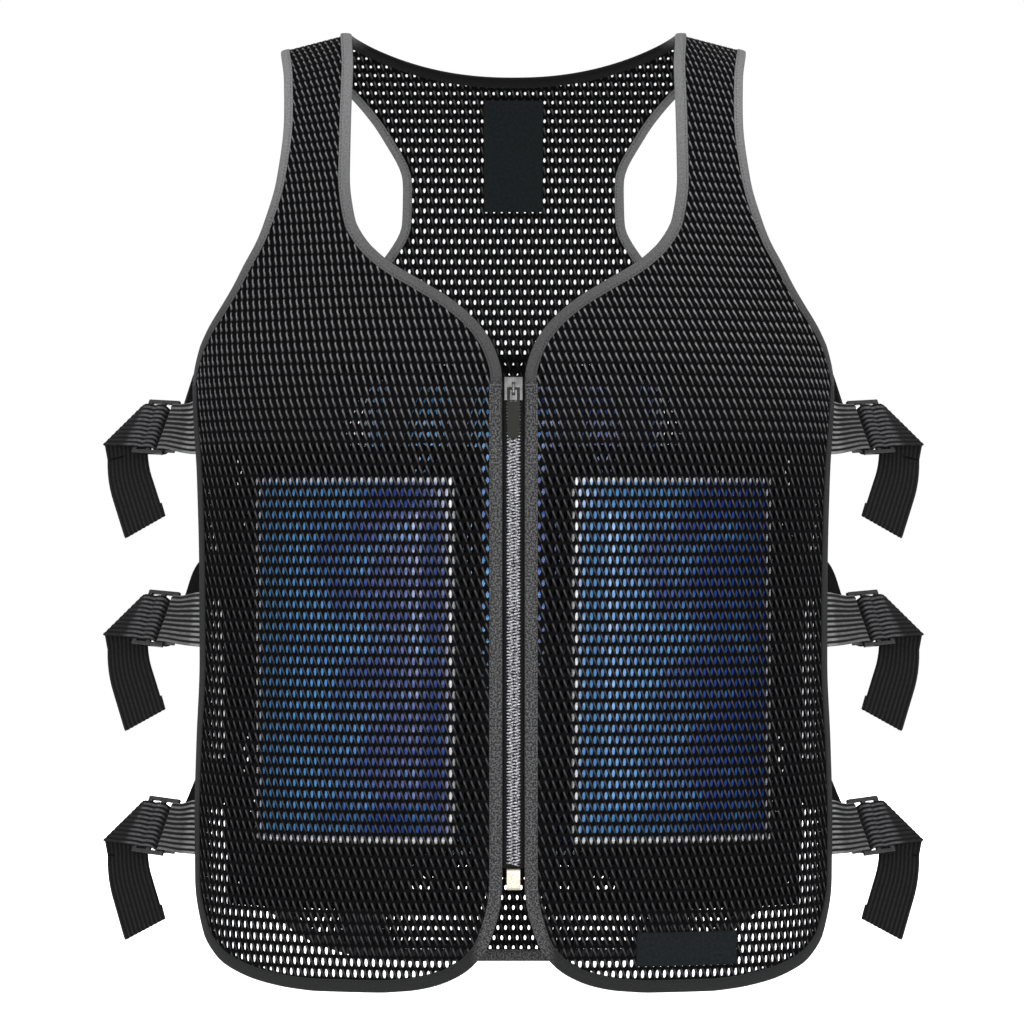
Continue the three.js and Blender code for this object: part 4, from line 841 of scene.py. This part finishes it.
def hard(name, color, pale, roughness, metallic, scale, **sockets):
    """A hard finish with fine wear: roughness and colour wander a little, as on handled metal or plastic."""
    made, tree, shader = material(name, color, roughness, Metallic=metallic, **sockets)
    speckle = object_noise(tree, Scale=scale, Detail=4.0)
    paint(tree, shader, fade(tree, speckle, 0.35, 0.75), color, pale)
    patchy = fade(tree, speckle, 0.3, 0.7, roughness * 0.8, roughness * 1.25)
    tree.links.new(patchy.outputs[0], shader.inputs["Roughness"])
    relief(tree, shader, speckle, 0.05)
    return made


zinc = hard("black_painted_zinc", "#0c0c0e", "#1e1e20", 0.32, 0.0, 200.0, Specular_IOR_Level=0.5)
pull_zinc = hard("dark_painted_pull", "#151512", "#20201c", 0.6, 0.0, 200.0, Specular_IOR_Level=0.15)
nickel = hard("pale_nickel_box", "#a89f8e", "#c9c0ae", 0.3, 0.7, 600.0)
rounded("zip_slider_cast", "zip_slider", "vest", "painted_zinc", zinc, 0.45)
rounded("zip_pull_tab", "zip_pull", "zip_pull", "painted_zinc", pull_zinc, 0.4)
rounded("zip_retainer_box", "zip_retainer", "vest", "nickel", nickel, 0.5)

# Labels: plain dark woven patches, sewn on along their edges. One lies inside the back of the neck and one
# on the right front's hem.
LABEL = 0.8
LABEL_CELL = 1.5
LABEL_SEW = 2.5
LABELS = (
    dict(node="neck_label", face=BACK, middle=0, down=75.1, width=44, height=78, lift=-0.8, side=-1),
    dict(node="hem_label", face=FRONT, middle=117, down=634, width=68, height=23, lift=3.9, side=1),
)


def label_cloth():
    """Dense satin weave, nearly black with a blue-green cast, its fine threads lying across the patch."""
    made, tree, shader = material("plain_dark_label", "#0c1113", 0.7, Specular_IOR_Level=0.1)
    place = flat_place(tree)
    threads = maths(tree, "SINE", maths(tree, "MULTIPLY", place.outputs["Y"], 2 * math.pi / 0.5))
    fuzz = flat_noise(tree, 0.5, 4.0)
    paint(tree, shader, fade(tree, fuzz, 0.3, 0.7), "#090d0f", "#111719")
    relief(tree, shader, maths(tree, "MULTIPLY_ADD", threads, 0.3, fuzz), 0.2)
    return made


def label_patch(label, made):
    columns, rows = int(label["width"] / LABEL_CELL), int(label["height"] / LABEL_CELL)
    u = np.linspace(-0.5, 0.5, columns + 1) * label["width"]
    v = np.linspace(-0.5, 0.5, rows + 1) * label["height"]

    def place(i, j):
        inside = np.minimum(label["width"] / 2 - np.abs(u[i]), label["height"] / 2 - np.abs(v[j]))
        sunk = 0.3 * np.exp(-((inside - LABEL_SEW) / 0.8) ** 2)
        lift = label["lift"] - label["side"] * sunk
        return on_cloth(label["face"], label["middle"] + u[i], label["down"] + v[j], lift)

    piece = grid_piece(f"{label['node']}_patch", columns, rows, place, lambda i, j: (u[i], v[j]), made)
    thicken(piece, LABEL)
    declare(piece, "label_cloth", label["node"])


label_weave = label_cloth()
for label in LABELS:
    label_patch(label, label_weave)

# Side straps: webbing sewn to the back panel's edge comes up through a moulded ladder-lock buckle, over its
# bars, folds slantwise and hangs down as a tail with a sewn hem. The buckle is held by a ribbed elastic tab.
# Places on a buckle are out along the strap, high across it, and lift off its face.
WEBBING_WIDTH = 33
WEBBING = 1.4
TAB_WIDTH = 38
TAB = 1.5
TAB_RETURN = 9
TAB_RIBS = 11
WEB_RIBS = 10
BAR = 3.5
SLOT = 8
SLOT_WIDTH = 36
BUCKLE = 3
CLEAR = 0.4
BUCKLE_REACH = 251
BUCKLE_BACK = 30
BUCKLE_PITCH = 24
BUCKLE_TILT = 4
BUCKLE_YAW = 30
FOLD_START = 17
FOLD_RUN = 23
FOLD_DROP = 2.5
TAB_SET_OFF = 8
WEB_SET_OFF = 34
WEB_DIP = 1.6
TAIL_LENGTH = 60
TAIL_LEAN = 0.3
TAIL_END_LEAN = 0.72
TAIL_HEM = 11
TAIL_TURN = 8
TAIL_BACK = 6
TAIL_CREEP = 4
TAIL_PIECES = 12
BAND_STEP = 3
BAR_STEP = BAR + SLOT
TAB_STATIONS = 16
TAB_TURN = 9
TAB_COLUMNS = 44
TAB_CORD = 0.28
WEB_STATIONS = 24
WEB_COLUMNS = 30
WEB_CORD = 0.2
CORD_ROOM = 0.4
FOLD_STATIONS = 7
HEM_STATIONS = 6
UP = np.array([0.0, 0, 1])
STRAPS = (
    dict(name="upper", buckle=0.42, back=0.375),
    dict(name="middle", buckle=0.623, back=0.578),
    dict(name="lower", buckle=0.843, back=0.806),
)


def ribbed_cloth(name, dark, pale, ribs, width, fray, patchy):
    """Ribbed narrow fabric: cords run along it, with a fine cross weave between them. The crests are painted
    paler than the grooves, and palest at a given stretch along it, as painted highlight where it faces the
    light; elsewhere they are painted darker, as painted shade."""
    made, tree, shader = material(name, pale, 0.75, Specular_IOR_Level=0.08, Sheen_Weight=0.02)
    place = flat_place(tree)
    wave = maths(tree, "SINE", maths(tree, "MULTIPLY", place.outputs["X"], 2 * math.pi * ribs / width))
    cross = maths(tree, "SINE", maths(tree, "MULTIPLY", place.outputs["Y"], 2 * math.pi / 0.9))
    fuzz = flat_noise(tree, 0.35, 5.0)
    share = maths(tree, "MULTIPLY", fade(tree, wave, -0.6, 0.9), fade(tree, fuzz, 0.3, 0.7, 1 - fray, 1.0))
    # Painted light: the crests are painted palest over a given stretch that faces the light, and darker
    # elsewhere as painted shade
    along = maths(tree, "ABSOLUTE", maths(tree, "SUBTRACT", place.outputs["Y"], patchy["middle"]))
    there = fade(tree, along, patchy["reach"] - 2, patchy["reach"] + 3, 1.0, patchy["elsewhere"])
    share = maths(tree, "MULTIPLY", share, there)
    paint(tree, shader, share, dark, pale)
    weave = maths(tree, "MULTIPLY_ADD", cross, 0.25, maths(tree, "MULTIPLY_ADD", fuzz, 0.3, wave))
    relief(tree, shader, weave, 0.22)
    return made


def cubic(a, b, c, d, count):
    t = np.linspace(0, 1, count)[:, None]
    return a * (1 - t) ** 3 + 3 * b * t * (1 - t) ** 2 + 3 * c * t * t * (1 - t) + d * t ** 3


def run_to(edge, arrive, leave, meet, way, count):
    """Stations from a vest edge to the buckle: middle points, the way across and the way off its face."""
    at, side, rise = edge
    run = cubic(at, at + side * leave, meet, arrive, count)
    across = unit(rise + (UP - rise) * soft(np.linspace(0, 1, count))[:, None])
    face = unit(np.cross(np.gradient(run, axis=0), across))
    return run, across, face * np.sign(face[-1] @ way)


def half_turn(start, way, face, radius, count):
    """The middle line round a fold, which leaves start and comes back underneath, and its outer side."""
    angle = np.linspace(0, math.pi, count)[:, None]
    outer = np.sin(angle) * way + np.cos(angle) * face
    return start - face * radius + radius * outer, outer


def edge_point(face, edge, hand, height):
    """Where a strap is sewn on: a point just off the binding at a height, the way off the edge and up it."""
    rows = downs(face["length"], ARMPIT_DOWN / 2, face["length"], 300)
    points = on_cloth(face, hand * edge(rows), rows, 0)
    normals = outward(face, hand * edge(rows), rows)
    along = unit(np.gradient(points, axis=0))
    side = unit(np.cross(along, normals))
    side = side * np.sign(np.sum(side[:, 0]) * hand)
    point, off, normal, way = (
        np.array([np.interp(-height, -points[:, 2], part[:, k]) for k in range(3)])
        for part in (points, side, normals, along)
    )
    return point + unit(off) * (BINDING_TURN + SEAM_GAP) + unit(normal) * CLOTH / 2, unit(off), -unit(way)


def band(name, made, low_edge, high_edge, face, ribs, depth, thickness, columns, start=0):
    """A ribbed band between its two edge lines, cut to even steps, with cords raised along it. Its own length
    is counted from the start station."""
    middle = (low_edge + high_edge) / 2
    travelled = np.r_[0, np.cumsum(np.maximum(np.linalg.norm(np.diff(middle, axis=0), axis=1), 1e-3))]
    zero = travelled[start]
    at = np.unique(np.r_[np.linspace(0, travelled[-1], int(travelled[-1] / BAND_STEP)), travelled])
    low_edge, high_edge, face = (
        np.stack([np.interp(at, travelled, part[:, k]) for k in range(3)], -1)
        for part in (low_edge, high_edge, face)
    )
    face = unit(face)
    share = np.linspace(0, 1, columns + 1)
    width = float(np.median(np.linalg.norm(high_edge - low_edge, axis=1)))
    cords = depth * np.sin(2 * math.pi * ribs * share)

    def place(i, j):
        return low_edge[j] + (high_edge[j] - low_edge[j]) * share[i][:, None] + face[j] * cords[i][:, None]

    piece = grid_piece(name, columns, len(at) - 1, place, lambda i, j: (share[i] * width, at[j] - zero), made)
    thicken(piece, thickness)
    return piece


def buckle_places(hand, strap):
    """The buckle's place, and the turn that takes places on it into the vest's frame."""
    turn = Matrix.Rotation(-hand * math.radians(BUCKLE_TILT), 3, "Y")
    turn = turn @ Matrix.Rotation(hand * math.radians(BUCKLE_YAW), 3, "Z")
    turn = turn @ Matrix.Rotation(-math.radians(BUCKLE_PITCH), 3, "X")
    return np.array([hand * BUCKLE_REACH, -BUCKLE_BACK, -FRONT_LENGTH * strap["buckle"]]), np.array(turn)


def on_buckle(hand):
    """Turns a place on a buckle, given as out, high and lift, into the buckle's own x, y and z."""
    return lambda out, high, lift: np.array([hand * out, -lift, high], float)


def elastic_tab(key, hand, centre, turn, edge, made):
    """Off the front panel's edge, over the first bar and back under it."""
    local = on_buckle(hand)
    on_bar = BUCKLE / 2 + CLEAR + TAB / 2
    past_bar = CLEAR + TAB / 2 + 0.5
    meet = local(-BAR - BAR_STEP, 0, on_bar)
    toward = meet + local(-TAB_SET_OFF, 0, 0)
    run, across, face = run_to(edge, meet, TAB_SET_OFF, toward, local(0, 0, 1), TAB_STATIONS)
    angle = np.linspace(0, math.pi, TAB_TURN)[:, None]
    over_bar = np.sin(angle) * local(past_bar, 0, 0) + np.cos(angle) * local(0, 0, on_bar)
    over_bar = over_bar + local(BAR / 2 - 0.5 - BAR_STEP, 0, 0)
    outer = np.sin(angle) * local(1, 0, 0) + np.cos(angle) * local(0, 0, 1)
    run = np.r_[run, over_bar, [local(-BAR_STEP - TAB_RETURN, 0, -on_bar)]]
    face = np.r_[face, outer, [local(0, 0, -1)]]
    across = np.r_[across, np.tile(UP, (TAB_TURN + 1, 1))]
    slot_tab = SLOT_WIDTH - 2 * CLEAR
    narrowing = np.linspace(TAB_WIDTH, slot_tab, TAB_STATIONS)
    half = np.r_[narrowing, np.full(TAB_TURN + 1, slot_tab)][:, None] / 2
    piece = band(f"elastic_{key}", made, (run - across * half) @ turn.T + centre,
                 (run + across * half) @ turn.T + centre, face @ turn.T, TAB_RIBS, TAB_CORD,
                 TAB - CORD_ROOM, TAB_COLUMNS)
    declare(piece, "elastic", f"elastic_tab_{key}")


def strap_webbing(key, hand, centre, turn, edge, made):
    """Off the back panel's edge, up beside the middle bar, over two bars, then the fold, tail and hem."""
    local = on_buckle(hand)
    over = BUCKLE / 2 + CLEAR + WEBBING / 2
    beside = BAR / 2 + CLEAR + WEBBING / 2
    enter = local(-beside, 0, -over - BAR / 2)
    below = enter + local(0, 0, -WEB_SET_OFF)
    run, across, face = run_to(edge, enter, WEB_SET_OFF, below, local(-1, 0, 0), WEB_STATIONS)
    bars = (
        dict(out=-beside, lift=over - WEBBING / 2, face_out=-0.9, face_lift=0.45),
        dict(out=-BAR / 2, lift=over, face_out=-0.35, face_lift=0.95),
        dict(out=BAR / 2, lift=over, face_out=0.3, face_lift=0.95),
        dict(out=BAR_STEP / 2, lift=over - WEB_DIP, face_out=0, face_lift=1),
        dict(out=BAR_STEP - BAR / 2, lift=over, face_out=-0.2, face_lift=1),
        dict(out=BAR_STEP + BAR / 2, lift=over, face_out=0.1, face_lift=1),
    )
    half = WEBBING_WIDTH / 2
    run = np.r_[run, [local(bar["out"], 0, bar["lift"]) for bar in bars]]
    across = np.r_[across, np.tile(UP, (len(bars), 1))]
    low_edge, high_edge = list(run - across * half), list(run + across * half)
    face = list(face) + [unit(local(bar["face_out"], 0, bar["face_lift"])) for bar in bars]

    # The fold: both edges run on to a slanted line and turn under it
    lift_way = local(0, 0, 1)
    fold_lift = over - FOLD_DROP
    fold_high = local(FOLD_START, half, fold_lift)
    fold_low = local(FOLD_START + FOLD_RUN, -half, fold_lift)
    radius = WEBBING / 2 + CLEAR / 2
    way = unit(np.cross(lift_way, fold_low - fold_high))
    way = way * np.sign(way @ local(1, 0, 0))
    turned_high, outer = half_turn(fold_high, way, lift_way, radius, FOLD_STATIONS)
    turned_low, _ = half_turn(fold_low, way, lift_way, radius, FOLD_STATIONS)
    low_edge.extend(turned_low)
    high_edge.extend(turned_high)
    face.extend(outer)

    # The tail bends in towards the vest as it hangs, and its end turns under for the hem
    tail_way = unit(local(-TAIL_LEAN, -1, 0))
    end_way = unit(local(-TAIL_END_LEAN, -1, 0))
    rise = (fold_high - fold_low) @ tail_way
    middle = (fold_high + fold_low) / 2 + tail_way * (TAIL_TURN - rise / 2)
    middle = middle - lift_way * (2 * radius + TAIL_BACK)

    def station(middle, way, face_way):
        outwards = unit(np.cross(way, lift_way))
        outwards = outwards * np.sign(outwards @ local(1, 0, 0))
        low_edge.append(middle + outwards * half)
        high_edge.append(middle - outwards * half)
        face.append(face_way)

    station(middle, tail_way, -lift_way)
    for k in range(1, TAIL_PIECES + 1):
        way = unit(tail_way + (end_way - tail_way) * min(2 * k / TAIL_PIECES, 1))
        middle = middle + way * TAIL_LENGTH / TAIL_PIECES - lift_way * TAIL_CREEP / TAIL_PIECES
        station(middle, way, -lift_way)
    hem_run, hem_outer = half_turn(middle, way, lift_way, WEBBING / 2 + 0.1, HEM_STATIONS)
    for spot, spot_outer in zip(hem_run[1:], hem_outer[1:]):
        station(spot, way, -spot_outer)
    station(hem_run[-1] - way * TAIL_HEM, way, lift_way)

    low_edge, high_edge, face = (np.array(part) for part in (low_edge, high_edge, face))
    piece = band(f"webbing_{key}", made, low_edge @ turn.T + centre, high_edge @ turn.T + centre,
                 face @ turn.T, WEB_RIBS, WEB_CORD, WEBBING - CORD_ROOM, WEB_COLUMNS, start=WEB_STATIONS)
    declare(piece, "webbing", f"side_strap_{key}")


# Each dict gives the stretch painted palest as highlight: the elastic next to the vest's edge, the webbing
# over the bars
elastic_cloth = ribbed_cloth("grey_ribbed_elastic", "#121213", "#7c7c7d", TAB_RIBS, TAB_WIDTH, 0.35,
                             dict(middle=0, reach=8, elsewhere=0.5))
web_cloth = ribbed_cloth("black_ribbed_webbing", "#060607", "#4c4c4e", WEB_RIBS, WEBBING_WIDTH, 0.5,
                         dict(middle=9, reach=11, elsewhere=0.14))
acetal = hard("black_acetal", "#0b0b0c", "#19191b", 0.25, 0.0, 300.0, Specular_IOR_Level=0.45)
for side, hand in (("left", -1), ("right", 1)):
    for strap in STRAPS:
        key = f"{strap['name']}_{side}"
        centre, turn = buckle_places(hand, strap)
        front_edge, back_edge = (
            ((point - centre) @ turn, off @ turn, rise @ turn) for point, off, rise in (
                edge_point(FRONT, front_outer, hand, -FRONT_LENGTH * strap["buckle"]),
                edge_point(BACK, back_outer, hand, -FRONT_LENGTH * strap["back"]),
            )
        )
        rounded(f"buckle_{key}", f"strap_buckle_{key}", "vest", "acetal", acetal, 0.7)
        elastic_tab(key, hand, centre, turn, front_edge, elastic_cloth)
        strap_webbing(key, hand, centre, turn, back_edge, web_cloth)

# Camera, floor and light: a plain white floor, a soft light behind the camera that reaches the packs through
# the mesh, a large soft light on either side, one above, one behind the vest, and a faint one inside it.
camera_data = bpy.data.cameras.new("camera")
camera_data.lens = 104.3
camera_data.sensor_width = 36
camera = bpy.data.objects.new("camera", camera_data)
camera.location = (-0.001, -2.115, -0.3377)
camera.rotation_euler = (math.pi / 2, 0, 0)
bpy.context.scene.collection.objects.link(camera)
bpy.context.scene.camera = camera

bm = bmesh.new()
bmesh.ops.create_grid(bm, x_segments=1, y_segments=1, size=6)
bmesh.ops.translate(bm, verts=bm.verts[:], vec=(0, 0, -0.78))
paper, tree, shader = material("matt_white_paper", "#ffffff", 0.95, Specular_IOR_Level=0.1)
relief(tree, shader, object_noise(tree, Scale=300.0), 0.1)
finish_mesh(bm, "floor", paper)

world = bpy.data.worlds.new("studio")
world.use_nodes = True
world.node_tree.nodes["Background"].inputs[0].default_value = (1, 1, 1, 1)
world.node_tree.nodes["Background"].inputs[1].default_value = 1.0
bpy.context.scene.world = world
bpy.context.scene.view_settings.view_transform = "Standard"
LIGHTS = (
    dict(name="front_softbox", place=(0, -2.6, -0.25), aim=(0, 0, -0.35), size=0.5, power=36),
    dict(name="left_softbox", place=(-1.7, -1.5, 0.4), aim=(0, 0, -0.35), size=1.2, power=8),
    dict(name="right_softbox", place=(1.7, -1.5, 0.4), aim=(0, 0, -0.35), size=1.2, power=8),
    dict(name="top_softbox", place=(0, -0.4, 1.6), aim=(0, 0, -0.35), size=1.6, power=12),
    dict(name="back_softbox", place=(0, 2.6, 0.1), aim=(0, 0, -0.35), size=1.0, power=60),
    dict(name="inner_fill", place=(0, -0.02, -0.36), aim=(0, 0.1, -0.36), size=0.2, power=0.5),
)
for setting in LIGHTS:
    light = bpy.data.lights.new(setting["name"], "AREA")
    light.energy = setting["power"]
    light.size = setting["size"]
    lamp = bpy.data.objects.new(setting["name"], light)
    lamp.visible_camera = False
    lamp.location = setting["place"]
    aim = Vector(setting["aim"]) - lamp.location
    lamp.rotation_euler = aim.to_track_quat("-Z", "Y").to_euler()
    bpy.context.scene.collection.objects.link(lamp)
